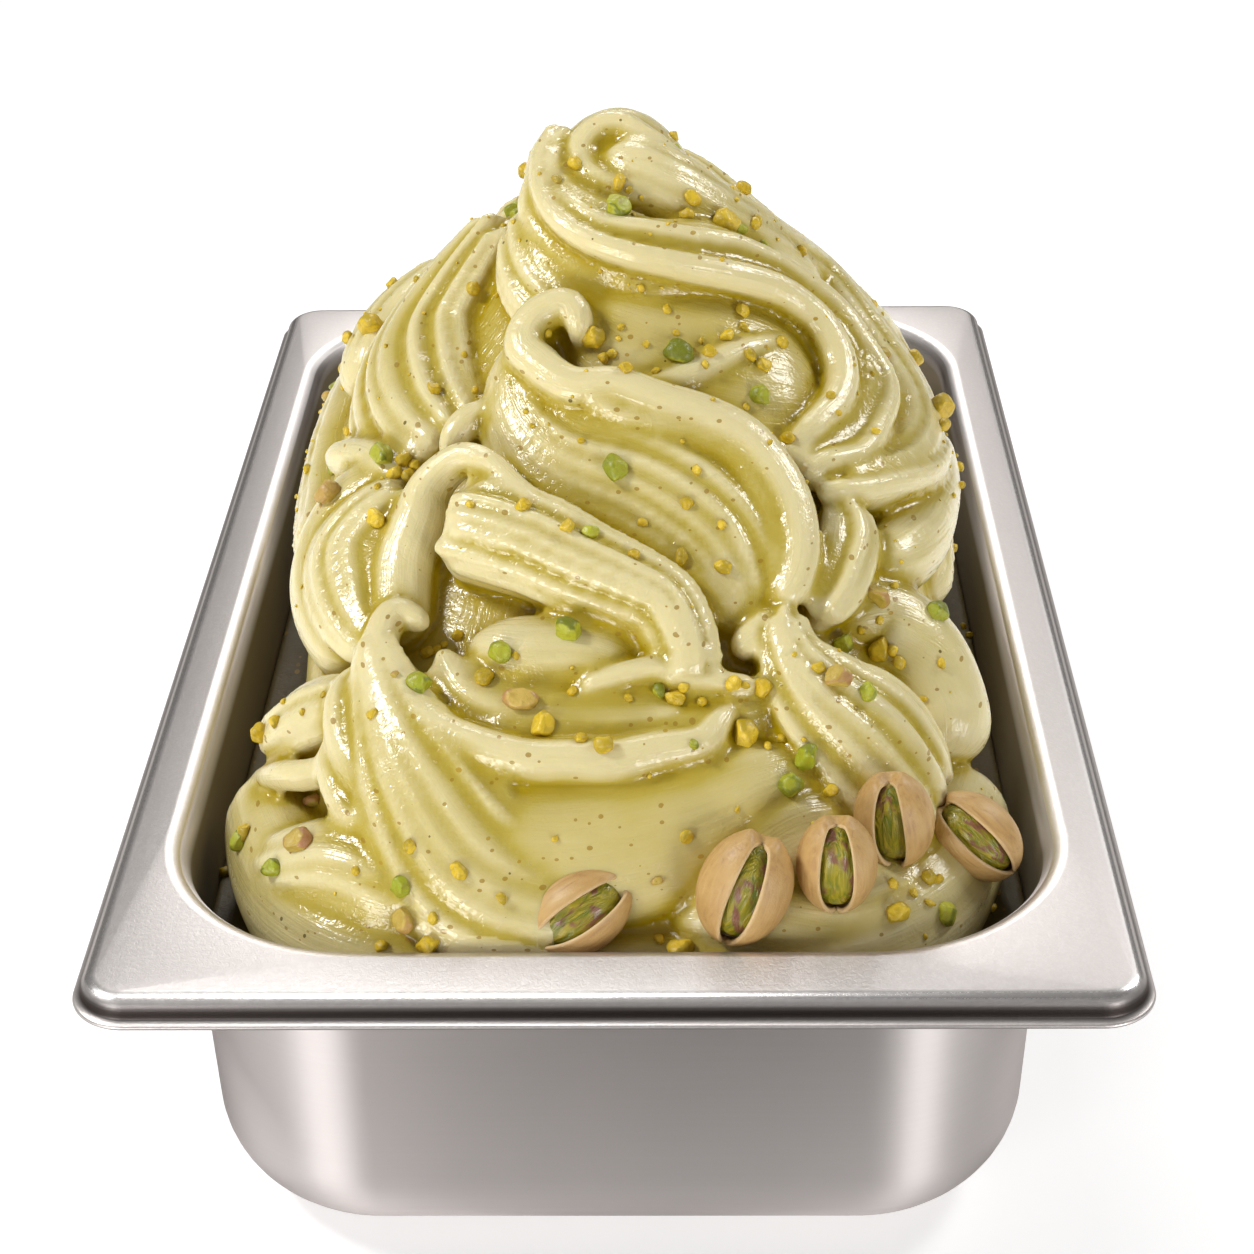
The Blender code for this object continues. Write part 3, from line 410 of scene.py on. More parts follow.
@dataclass(frozen=True)
class NutShell:
    """Dry tan pistachio shell, with faint lengthwise streaks and paler lips."""

    tan: Colour = (0.49, 0.29, 0.097)
    pale: Colour = (0.60, 0.395, 0.16)
    brown: Colour = (0.36, 0.19, 0.08)

    def make(self) -> bpy.types.Material:
        """Build the material."""
        graph = Graph("pistachio_shell")
        local = graph.direction("grain")
        lip = graph.attribute("lip")
        inside = graph.attribute("inside")
        streak = graph.noise(graph.stretched(local, (1.1, 1.1, 0.13)), 1.0, 4.0, 0.6)
        cloud = graph.noise(local, 0.22, 3.0)
        pores = graph.noise(local, 3.2, 2.0)
        tint = graph.ramp(streak, ((0.30, self.brown), (0.42, self.tan), (0.72, self.pale)))
        tint = graph.blend(0.45, tint, self.tan)
        tint = graph.blend(cloud.between(0.45, 0.7) * 0.5, tint, self.pale)
        tint = graph.blend(inside * 0.6, tint, (0.42, 0.24, 0.10))
        graph.set(
            Base_Color=graph.blend(lip * 0.6, tint, (0.86, 0.66, 0.38)),
            Roughness=0.36 + pores * 0.18,
            Coat_Weight=0.06,
            Coat_Roughness=0.3,
            Normal=graph.bump(streak * 0.14 + pores * 0.05),
        )
        return graph.material


@dataclass(frozen=True)
class NutKernel:
    """Glossy green kernel with red-brown skin left on it in streaks."""

    green: Colour = (0.27, 0.235, 0.009)
    bright: Colour = (0.47, 0.375, 0.028)
    skin: Colour = (0.20, 0.06, 0.05)

    def make(self) -> bpy.types.Material:
        """Build the material."""
        graph = Graph("pistachio_kernel")
        local = graph.direction("grain")
        streak = graph.noise(graph.stretched(local, (0.75, 0.75, 0.16)), 1.0, 4.0, 1.4)
        patch = graph.noise(graph.stretched(local, (0.30, 0.30, 0.16)), 1.0, 2.0, 1.0)
        tint = graph.ramp(streak, ((0.30, (0.13, 0.17, 0.01)), (0.48, self.green), (0.70, self.bright)))
        tint = graph.blend((patch + streak * 0.4).between(0.74, 0.86) * 0.85, tint, self.skin)
        graph.set(
            Base_Color=tint,
            Roughness=0.26 + streak * 0.15,
            Coat_Weight=0.25,
            Coat_Roughness=0.12,
            Normal=graph.bump(streak * 0.5),
        )
        return graph.material


@dataclass(frozen=True)
class ChoppedNut:
    """Chopped pistachio: a moist cut face and a darker outside, with each piece its own shade."""

    name: str
    cut: Colour
    deep_cut: Colour
    outside: Colour

    def make(self) -> bpy.types.Material:
        """Build the material."""
        graph = Graph(self.name)
        shade = graph.attribute("shade")
        rind = graph.attribute("rind")
        place = graph.place()
        grit = graph.noise(place, 900.0, 3.0, 0.6)
        patch = graph.noise(place, 260.0, 2.0, 0.8)
        tint = graph.blend(shade, self.cut, self.deep_cut)
        tint = graph.blend(grit.between(0.35, 0.75) * 0.4, tint, (0.30, 0.20, 0.01))
        tint = graph.blend((rind * 0.75 + patch * 0.6).between(0.40, 1.05), tint, self.outside)
        graph.set(
            Base_Color=tint,
            Roughness=0.34 + grit * 0.2,
            Subsurface_Weight=0.12,
            Subsurface_Radius=(1.0, 0.8, 0.3),
            Subsurface_Scale=0.001,
            Coat_Weight=0.10,
            Coat_Roughness=0.2,
            Normal=graph.bump(grit * 0.30 + patch * 0.22),
        )
        return graph.material


@dataclass(frozen=True)
class PaleTable:
    """The plain pale surface that the pan stands on, with a faint glow that keeps it white."""

    tint: Colour = (0.80, 0.80, 0.80)
    glow: float = 0.44

    def make(self) -> bpy.types.Material:
        """Build the material."""
        graph = Graph("pale_table")
        cloud = graph.noise(graph.place(), 3.0, 2.0)
        graph.set(
            Base_Color=graph.blend(cloud * 0.1, self.tint, (0.78, 0.78, 0.79)),
            Roughness=0.6,
            Emission_Color=(1.0, 1.0, 1.0),
            Emission_Strength=self.glow,
        )
        return graph.material


@dataclass(frozen=True)
class DarkCard:
    """Dark card, paler at its left, that lies before the pan for its front to reflect."""

    tint: Colour = (0.055, 0.045, 0.042)
    pale: Colour = (0.42, 0.40, 0.39)
    pale_left_of: float = -0.105
    dark_right_of: float = 0.03

    def make(self) -> bpy.types.Material:
        """Build the material."""
        graph = Graph("dark_card")
        place = graph.place()
        weave = graph.noise(place, 400.0, 2.0)
        across = graph.node("ShaderNodeSeparateXYZ", {}, {0: place})
        tint = graph.blend(weave * 0.3, self.tint, (0.09, 0.08, 0.075))
        fade = across.between(self.pale_left_of, self.dark_right_of)
        graph.set(Base_Color=graph.blend(fade, self.pale, tint), Roughness=0.9)
        return graph.material


class ChipKind(Enum):
    """The sorts of chopped pistachio, by what most of a piece shows."""

    YELLOW = ChoppedNut("chopped_nut_yellow", (0.80, 0.57, 0.035), (0.66, 0.45, 0.012), (0.44, 0.31, 0.01))
    GREEN = ChoppedNut("chopped_nut_green", (0.47, 0.48, 0.03), (0.33, 0.37, 0.012), (0.17, 0.19, 0.006))
    SKINNED = ChoppedNut("chopped_nut_skinned", (0.60, 0.42, 0.10), (0.46, 0.34, 0.04), (0.42, 0.20, 0.08))


# Meshes


def add_piece(name: str, mesh: bpy.types.Mesh, finish: bpy.types.Material) -> bpy.types.Object:
    """Put a mesh in the scene as a piece of the object.

    Args:
        name: the piece's name.
        mesh: its shape, in metres.
        finish: its material.

    Returns:
        The piece, riding on the one body.
    """
    obj = bpy.data.objects.new(name, mesh)
    bpy.context.scene.collection.objects.link(obj)
    mesh.materials.clear()
    mesh.materials.append(finish)
    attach(obj, "root")
    LOG.info("%s: %d faces", name, len(mesh.polygons))
    return obj


def mesh_from(name: str, points: np.ndarray, faces: Faces) -> bpy.types.Mesh:
    """A smooth-shaded mesh from points in millimetres, its faces turned outward."""
    mesh = bpy.data.meshes.new(name)
    mesh.from_pydata((np.asarray(points) * MM).tolist(), [], faces)
    shape = bmesh.new()
    shape.from_mesh(mesh)
    bmesh.ops.recalc_face_normals(shape, faces=shape.faces)
    shape.to_mesh(mesh)
    shape.free()
    mesh.shade_smooth()
    return mesh


def store(mesh: bpy.types.Mesh, name: str, values: np.ndarray) -> None:
    """Store one number or vector for each point of a mesh."""
    values = np.asarray(values, dtype=np.float32)
    if values.ndim == 1:
        mesh.attributes.new(name, "FLOAT", "POINT").data.foreach_set("value", values)
    else:
        mesh.attributes.new(name, "FLOAT_VECTOR", "POINT").data.foreach_set("vector", values.ravel())


def points_of(mesh: bpy.types.Mesh) -> np.ndarray:
    """The points of a mesh, in millimetres."""
    flat = np.empty(len(mesh.vertices) * 3)
    mesh.vertices.foreach_get("co", flat)
    return flat.reshape(-1, 3) / MM


def edges_of(mesh: bpy.types.Mesh) -> tuple[np.ndarray, np.ndarray]:
    """The two end points of every edge of a mesh."""
    ends = np.empty(len(mesh.edges) * 2, dtype=np.int64)
    mesh.edges.foreach_get("vertices", ends)
    first, second = ends.reshape(-1, 2).T
    return first, second


def spread(values: np.ndarray, first: np.ndarray, second: np.ndarray) -> np.ndarray:
    """Each point's value evened out with its neighbours' along the edges."""
    size = len(values)
    total = np.bincount(first, values[second], size) + np.bincount(second, values[first], size)
    count = np.bincount(first, minlength=size) + np.bincount(second, minlength=size)
    return 0.5 * values + 0.5 * total / np.maximum(count, 1)


def ring_faces(rows: int, columns: int) -> Faces:
    """Faces of a closed tube of point rings, with a cap on each end."""
    faces = []
    for row in range(rows - 1):
        for column in range(columns):
            beside = (column + 1) % columns
            low, high = row * columns, (row + 1) * columns
            faces.append((low + column, low + beside, high + beside, high + column))
    faces.append(tuple(range(columns - 1, -1, -1)))
    faces.append(tuple((rows - 1) * columns + column for column in range(columns)))
    return faces


def apply_modifiers(obj: bpy.types.Object) -> None:
    """Turn an object's modifiers into its mesh."""
    graph = bpy.context.evaluated_depsgraph_get()
    mesh = bpy.data.meshes.new_from_object(obj.evaluated_get(graph))
    obj.modifiers.clear()
    obj.data = mesh


def through(values: Any, at: np.ndarray) -> np.ndarray:
    """A smooth curve through evenly spaced values.

    Args:
        values: numbers, or rows of numbers.
        at: where to read it, from 0 to 1.

    Returns:
        One row for each place.
    """
    rows = np.asarray(values, float)
    if rows.ndim == 1:
        rows = rows[:, None]
    if len(rows) == 1:
        rows = np.repeat(rows, 2, axis=0)
    spans = len(rows) - 1
    padded = np.vstack([2 * rows[0] - rows[1], rows, 2 * rows[-1] - rows[-2]])
    place = np.clip(at, 0, 1) * spans
    span = np.minimum(place.astype(int), spans - 1)
    t = (place - span)[:, None]
    before, start, end, after = (padded[span + k] for k in range(4))
    return 0.5 * (
        2 * start
        + (end - before) * t
        + (2 * before - 5 * start + 4 * end - after) * t**2
        + (3 * start - before - 3 * end + after) * t**3
    )


def unit(vectors: np.ndarray) -> np.ndarray:
    """Vectors made one long."""
    return vectors / np.maximum(np.linalg.norm(vectors, axis=-1, keepdims=True), 1e-9)


# Pan


@dataclass
class Pan:
    """The drawn steel pan: its sizes, its section and its two finishes."""

    width: float = 162.0
    length: float = 265.0
    depth: float = 65.0
    sheet: float = 0.8
    flange: float = 9.0
    drop: float = 2.0
    rim_radius: float = 9.0
    opening_radius: float = 33.5
    inner_edge: float = 4.0
    outer_edge: float = 2.6
    lip: float = 4.6
    flare: float = 1.3
    draft: float = 1.6
    fillet: float = 17.0
    corner_steps: int = 28
    cavity_top: float = 190.0
    # how high the painted shade on the inside wall reaches, and over what height it fades out
    wall_shade_top: float = 63.0
    wall_shade_fade: float = 2.4
    steepest_level: float = 0.97
    sharp_angle: float = 50.0

    @property
    def opening(self) -> float:
        """Half the opening's width, at the flange's inner edge."""
        return self.width / 2 - self.flange

    @property
    def stretch(self) -> float:
        """How much longer than wide each half of the pan is."""
        return (self.length - self.width) / 2

    def ring(self, half: float, radius: float, z: float) -> list[Point]:
        """A level rounded rectangle, anticlockwise from the +X side.

        Args:
            half: half its width.
            radius: its corner radius.
            z: its height.

        Returns:
            Its points.
        """
        points = []
        for corner, (sx, sy) in enumerate(((1, 1), (-1, 1), (-1, -1), (1, -1))):
            for step in range(self.corner_steps + 1):
                angle = math.radians(90 * corner + 90 * step / self.corner_steps)
                x = sx * (half - radius) + radius * math.cos(angle)
                y = sy * (half + self.stretch - radius) + radius * math.sin(angle)
                points.append((x, y, z))
        return points

    @staticmethod
    def arc(
        x: float, z: float, radius: float, first: float, last: float, steps: int
    ) -> list[tuple[float, float]]:
        """Points of the section round an arc, angles in degrees from +X."""
        turns = [math.radians(first + (last - first) * step / steps) for step in range(steps + 1)]
        return [(x + radius * math.cos(turn), z + radius * math.sin(turn)) for turn in turns]

    def inside(self, inset: float = 0.0) -> list[Point]:
        """The inside's section as (half width, height, how worn and painted with a highlight), from base to
        flange.
        """
        foot = self.opening - self.inner_edge - self.draft - self.fillet
        low = self.arc(foot, self.sheet + self.fillet, self.fillet - inset, -90, 0, 14)
        edge = self.arc(self.opening, self.depth - self.inner_edge, self.inner_edge + inset, 180, 90, 9)
        rubbed = (0.0, 0.0, 0.1, 0.2, 0.3, 0.35, 0.3, 0.2, 0.1, 0.0)
        return [(x, z, 0.0) for x, z in low] + [(x, z, r) for (x, z), r in zip(edge, rubbed)]

    def rim(self) -> list[Point]:
        """The flange's outer edge and its hem.

        Returns:
            Rows of half width, height, and how worn and painted with a highlight the steel is, or how
            strongly a dark reflection is painted where it is below nought.
        """
        rim = self.width / 2
        shoulder = rim - self.flare - self.outer_edge
        top = self.depth - self.drop
        foot = top - self.outer_edge
        hem = top - self.lip
        rounding = self.arc(shoulder, foot, self.outer_edge, 90, 0, 8)
        # above nought: worn and painted highlight on the rounding's crest; below nought: painted dark
        # reflection down its lower half and the hem
        rubbed = (0.1, 0.6, 1.0, 1.0, 0.3, -0.4, -0.9, -1.0, -1.0)
        rows = [(x, z, r) for (x, z), r in zip(rounding, rubbed)]
        rows += [
            (rim - self.flare + 0.02, hem + 1.5, -1.0),
            (rim - self.flare + 0.18, hem + 1.15, -0.8),
            (rim - 0.30, hem + 0.85, -0.1),
            (rim - 0.05, hem + 0.66, 0.1),
            (rim, hem + 0.45, -0.2),
            (rim - 0.05, hem + 0.22, -0.65),
            (rim - 0.32, hem + 0.03, -0.9),
            (rim - self.flare - self.sheet, hem, -0.9),
            (rim - self.flare - self.sheet, foot, 0.0),
            (shoulder, top - self.sheet, 0.0),
        ]
        return rows

    def outside(self) -> list[Point]:
        """The outside's section under the flange, down to the base."""
        wall = self.opening - self.inner_edge
        under = [
            (self.opening, self.depth - self.sheet, 0.0),
            (wall + 1.6, self.depth - 2.2, 0.0),
            (wall + self.sheet + 0.25, self.depth - self.inner_edge + 0.7, 0.0),
            (wall + self.sheet, self.depth - self.inner_edge - 0.4, 0.0),
        ]
        foot = wall - self.draft - self.fillet
        low = self.arc(foot, self.sheet + self.fillet, self.fillet + self.sheet, 0, -90, 14)
        return under + [(x, z, 0.0) for x, z in low]

    def cavity(self) -> bpy.types.Object:
        """The room for gelato: the pan's inside less the gap, carried straight up above it."""
        section = self.inside(inset=GAP)[:16]
        section.append((section[-1][0], self.cavity_top, 0.0))
        points = []
        for half, z, _ in section:
            points += self.ring(half, self.opening_radius + half - self.opening, z)
        mesh = mesh_from("cavity", np.array(points), ring_faces(len(section), 4 * (self.corner_steps + 1)))
        obj = bpy.data.objects.new("cavity", mesh)
        bpy.context.scene.collection.objects.link(obj)
        return obj

    def build(self) -> bpy.types.Object:
        """Build and dress the pan.

        Returns:
            The piece that stands for the pan.
        """
        columns = 4 * (self.corner_steps + 1)
        points, rubbed = [], []
        sections = (
            (self.inside(), self.opening, self.opening_radius),
            (self.rim(), self.width / 2, self.rim_radius),
            (self.outside(), self.opening, self.opening_radius),
        )
        for rows, base, corner in sections:
            for half, z, bright in rows:
                points += self.ring(half, max(corner + half - base, 2.0), z)
                rubbed += [bright] * columns
        mesh = mesh_from("pan_sheet", np.array(points), ring_faces(len(points) // columns, columns))
        # worn edges painted with a highlight, and from the values below nought the painted dark reflection
        # under the rim
        store(mesh, "rubbed", np.maximum(rubbed, 0))
        store(mesh, "seam", np.maximum(np.negative(rubbed), 0))
        heights = np.array(points)[:, 2]
        inner = np.arange(len(points)) < len(self.inside()) * columns
        # painted shade: the inside wall is darkened below the flange, fading out towards its top
        filmed = np.clip((self.wall_shade_top - heights) / self.wall_shade_fade, 0, 1)
        store(mesh, "filmed", np.where(inner, filmed, 0))
        mesh.set_sharp_from_angle(angle=math.radians(self.sharp_angle))
        piece = add_piece("pan_sheet", mesh, SatinSteel().make())
        mesh.materials.append(BrushedSteel().make())
        wall_top = (self.depth - 1.0) * MM
        for face in mesh.polygons:
            wall = abs(face.normal.z) < self.steepest_level and face.center.z < wall_top
            on_rim = abs(face.center.x) > (self.opening + 1) * MM
            on_rim = on_rim or abs(face.center.y) > (self.opening + self.stretch + 1) * MM
            face.material_index = int(wall and not on_rim)
        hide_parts("pan")
        return piece


# Gelato


@dataclass(frozen=True)
class Level:
    """One level section of the mound, a rounded rectangle turning into an ellipse."""

    height: float
    half_width: float
    half_length: float
    centre_back: float
    squareness: float


class Mound:
    """The smooth guide surface that the folds are laid on."""

    LEVELS = (
        Level(36, 60.5, 122.0, 0, 5.0),
        Level(60, 60.0, 118.5, 0, 4.2),
        Level(78, 59.5, 99.0, 0, 3.2),
        Level(90, 57.0, 83.0, 1, 2.7),
        Level(100, 52.5, 69.0, 2, 2.4),
        Level(110, 44.5, 56.0, 3, 2.2),
        Level(120, 35.0, 44.0, 4, 2.1),
        Level(130, 26.0, 32.0, 4, 2.0),
        Level(140, 18.0, 21.0, 5, 2.0),
        Level(146, 12.5, 14.0, 5, 2.0),
        Level(150, 7.0, 8.0, 5, 2.0),
        Level(152, 3.0, 3.0, 5, 2.0),
    )

    def __init__(self) -> None:
        """Keep the level table as an array, with its lowest and highest heights."""
        self.table = np.array([astuple(level) for level in self.LEVELS])
        self.low, self.top = self.table[0, 0], self.table[-1, 0]

    def sizes(self, height: np.ndarray) -> list[np.ndarray]:
        """Half width, half length, centre and squareness at each height."""
        heights = self.table[:, 0]
        height = np.clip(height, heights[0], heights[-1])
        span = np.clip(np.searchsorted(heights, height, side="right") - 1, 0, len(heights) - 2)
        length = heights[span + 1] - heights[span]
        t = (height - heights[span]) / length
        sizes = []
        for column in self.table.T[1:]:
            slope = np.gradient(column, heights)
            sizes.append(
                (2 * t**3 - 3 * t**2 + 1) * column[span]
                + (t**3 - 2 * t**2 + t) * slope[span] * length
                + (3 * t**2 - 2 * t**3) * column[span + 1]
                + (t**3 - t**2) * slope[span + 1] * length
            )
        return sizes

    def point(self, angle: np.ndarray, height: np.ndarray, outset: float = 0.0) -> np.ndarray:
        """Places on the surface; angle in radians from the front."""
        half_width, half_length, centre, power = self.sizes(height)
        across = (np.abs(np.sin(angle)) / (half_width + outset)) ** power
        along = (np.abs(np.cos(angle)) / (half_length + outset)) ** power
        reach = (across + along) ** (-1 / power)
        level = height * np.ones_like(reach)
        return np.stack([reach * np.sin(angle), centre - reach * np.cos(angle), level], -1)

    def normal(self, angle: np.ndarray, height: np.ndarray) -> np.ndarray:
        """The outward direction of the surface."""
        height = np.clip(height, self.low + 0.5, self.top - 0.5)
        around = self.point(angle + 0.001, height) - self.point(angle - 0.001, height)
        upward = self.point(angle, height + 0.5) - self.point(angle, height - 0.5)
        return unit(np.cross(around, upward))


@dataclass(frozen=True)
class Tube:
    """A closed tube of point rings, with how its grain is measured round and along it."""

    rings: np.ndarray
    girth: float
    along: np.ndarray


GRAIN_STEP = 137.0
TIP = 0.03


@dataclass(frozen=True)
class Run:
    """A fold's middle line: how far along it, its frame, and its half sizes."""

    distance: np.ndarray
    centre: np.ndarray
    across: np.ndarray
    upright: np.ndarray
    width: np.ndarray
    thick: np.ndarray

    def swept(
        self, columns: int, ends: tuple[float, float], ridges: np.ndarray, number: int, start: float = 0.0
    ) -> Tube:
        """Sweep an oval along the line.

        Args:
            columns: points round it.
            ends: lengths over which its ends are rounded off.
            ridges: extra height at each of its points.
            number: its number, which makes its grain its own.
            start: how far from the line's beginning it starts.

        Returns:
            The closed tube.
        """
        nose = np.clip(1 - (self.distance - start) / ends[0], 0, 1)
        tail = np.clip(1 - (self.distance[-1] - self.distance) / ends[1], 0, 1)
        taper = np.maximum(np.sqrt(1 - np.maximum(nose, tail) ** 2), TIP)
        turn = np.linspace(0, 2 * math.pi, columns, endpoint=False)
        sideways = (self.width * taper)[:, None] * np.cos(turn)[None, :]
        upward = (self.thick * taper)[:, None] * np.sin(turn)[None, :] + taper[:, None] * ridges
        rings = (
            self.centre[:, None, :]
            + self.across[:, None, :] * sideways[:, :, None]
            + self.upright[:, None, :] * upward[:, :, None]
        )
        girth = math.pi * (float(np.max(self.width)) + float(np.max(self.thick)))
        return Tube(rings, girth, self.distance + GRAIN_STEP * number)


@dataclass(frozen=True)
class Fold:
    """A thick ribbon of gelato laid along a path on the mound.

    path holds (angle, height) of each station.  width and thick are half
    sizes, and rise is how far the crest stands off the mound; each changes
    evenly through the values given.  lean tips the upper edge outward, in
    degrees.  groove is the depth between neighbouring ribs, which strands
    makes separate rolls.  ends are the lengths over which the two ends are
    rounded off, and comb is the height of the finest ridges.
    """

    path: tuple[tuple[float, float], ...]
    width: tuple[float, ...]
    thick: tuple[float, ...]
    rise: tuple[float, ...]
    lean: tuple[float, ...] = (0.0,)
    ribs: int = 0
    groove: float = 0.0
    strands: bool = False
    ends: tuple[float, float] = (8.0, 8.0)
    comb: float = 0.22

    STATIONS = 120
    STATION_STEP = 1.1
    STRAND_WIDTH = 0.58
    STRAND_COLUMNS = 24

    def run(self, mound: Mound) -> "Run":
        """Lay the fold's middle line on the mound."""
        coarse = np.linspace(0, 1, self.STATIONS)
        stations = through(self.path, coarse)
        line = mound.point(np.radians(stations[:, 0]), stations[:, 1])
        reached = np.concatenate([[0.0], np.cumsum(np.linalg.norm(np.diff(line, axis=0), axis=1))])
        distance = np.linspace(0, reached[-1], max(10, int(reached[-1] / self.STATION_STEP)))
        at = np.interp(distance, reached, coarse)
        stations = through(self.path, at)
        angle, height = np.radians(stations[:, 0]), stations[:, 1]
        width, thick, rise, lean = (
            through(v, at)[:, 0] for v in (self.width, self.thick, self.rise, np.radians(self.lean))
        )
        out = mound.normal(angle, height)
        centre = mound.point(angle, height) + out * (rise - thick)[:, None]
        ahead = unit(np.gradient(centre, axis=0))
        out = unit(out - ahead * np.sum(out * ahead, axis=1, keepdims=True))
        side = np.cross(out, ahead)
        across = side * np.cos(lean)[:, None] + out * np.sin(lean)[:, None]
        upright = out * np.cos(lean)[:, None] - side * np.sin(lean)[:, None]
        return Run(distance, centre, across, upright, width, thick)

    def tubes(self, mound: Mound, number: int) -> list[Tube]:
        """Lay the fold and its strands on the mound.

        Args:
            mound: the guide surface.
            number: the fold's number, which makes its fine ridges its own.

        Returns:
            The closed tubes.
        """
        run = self.run(mound)
        columns = max(36, 12 * self.ribs)
        turn = np.linspace(0, 2 * math.pi, columns, endpoint=False)
        ridges = self.ridges(np.cos(turn), np.sin(turn), run.distance, np.max(run.width), number)
        tubes = [run.swept(columns, self.ends, ridges, number)]
        if self.strands:
            tubes += [self.strand(run, k, number) for k in range(self.ribs)]
        return tubes

    def strand(self, run: "Run", rank: int, number: int) -> Tube:
        """One of the rolls that lie side by side on top of the fold."""
        uneven = math.sin(2.1 * rank + 3.3 * number)
        turn = math.pi * (0.1 + 0.8 * (rank + 0.5 + 0.16 * uneven) / self.ribs)
        over, lift = math.cos(turn), math.sin(turn)
        width, thick = run.width[:, None], run.thick[:, None]
        outward = unit(run.across * over / width + run.upright * lift / thick)
        spacing = 0.8 * math.pi / self.ribs * np.hypot(run.width * lift, run.thick * over)
        half = self.STRAND_WIDTH * spacing * (1 + 0.14 * uneven)
        swell = 1 + 0.18 * math.sin(1.7 * rank + number)
        deep = np.full_like(half, self.groove / self.STRAND_WIDTH * swell)
        surface = run.centre + run.across * width * over + run.upright * thick * lift
        centre = surface + outward * (0.9 * self.groove - deep)[:, None]
        ahead = unit(np.gradient(centre, axis=0))
        laid = Run(run.distance, centre, unit(np.cross(outward, ahead)), outward, half, deep)
        turns = np.linspace(0, 2 * math.pi, self.STRAND_COLUMNS, endpoint=False)
        on_top = np.sqrt(np.clip(np.sin(turns), 0, 1))
        fine = np.sin(1.9 * float(np.max(half)) * np.cos(turns) + rank + number) * on_top
        ridges = np.tile(0.6 * self.comb * fine, (len(run.distance), 1))
        stagger = 1.6 + 1.4 * math.sin(2.4 * rank + number)
        ends = (float(half[0]) * 1.4, float(half[-1]) * 2.2)
        return laid.swept(self.STRAND_COLUMNS, ends, ridges, 9 * number + rank, stagger)

    def ridges(
        self, offset: np.ndarray, lift: np.ndarray, distance: np.ndarray, width: float, number: int
    ) -> np.ndarray:
        """Heights of the ribs and of the fine ridges between them, row by row along the fold."""
        on_top = np.sqrt(np.clip(lift, 0, 1))[None, :]
        wander = 0.05 * np.sin(distance / 17.0 + number)[:, None]
        uneven = offset[None, :] + 0.1 * np.sin(2.6 * offset + 1)[None, :] + wander
        heights = np.zeros_like(uneven)
        if self.ribs and not self.strands:
            heights += self.groove * (np.abs(np.sin(math.pi * self.ribs * (uneven + 1) / 2)) - 1)
        fine = np.sin(2.05 * width * uneven + number + 0.4 * np.sin(distance / 11.0)[:, None])
        strength = self.comb * (0.6 + 0.4 * np.sin(distance / 23.0 + 2.3 * number))[:, None]
        return on_top * (heights + strength * fine)


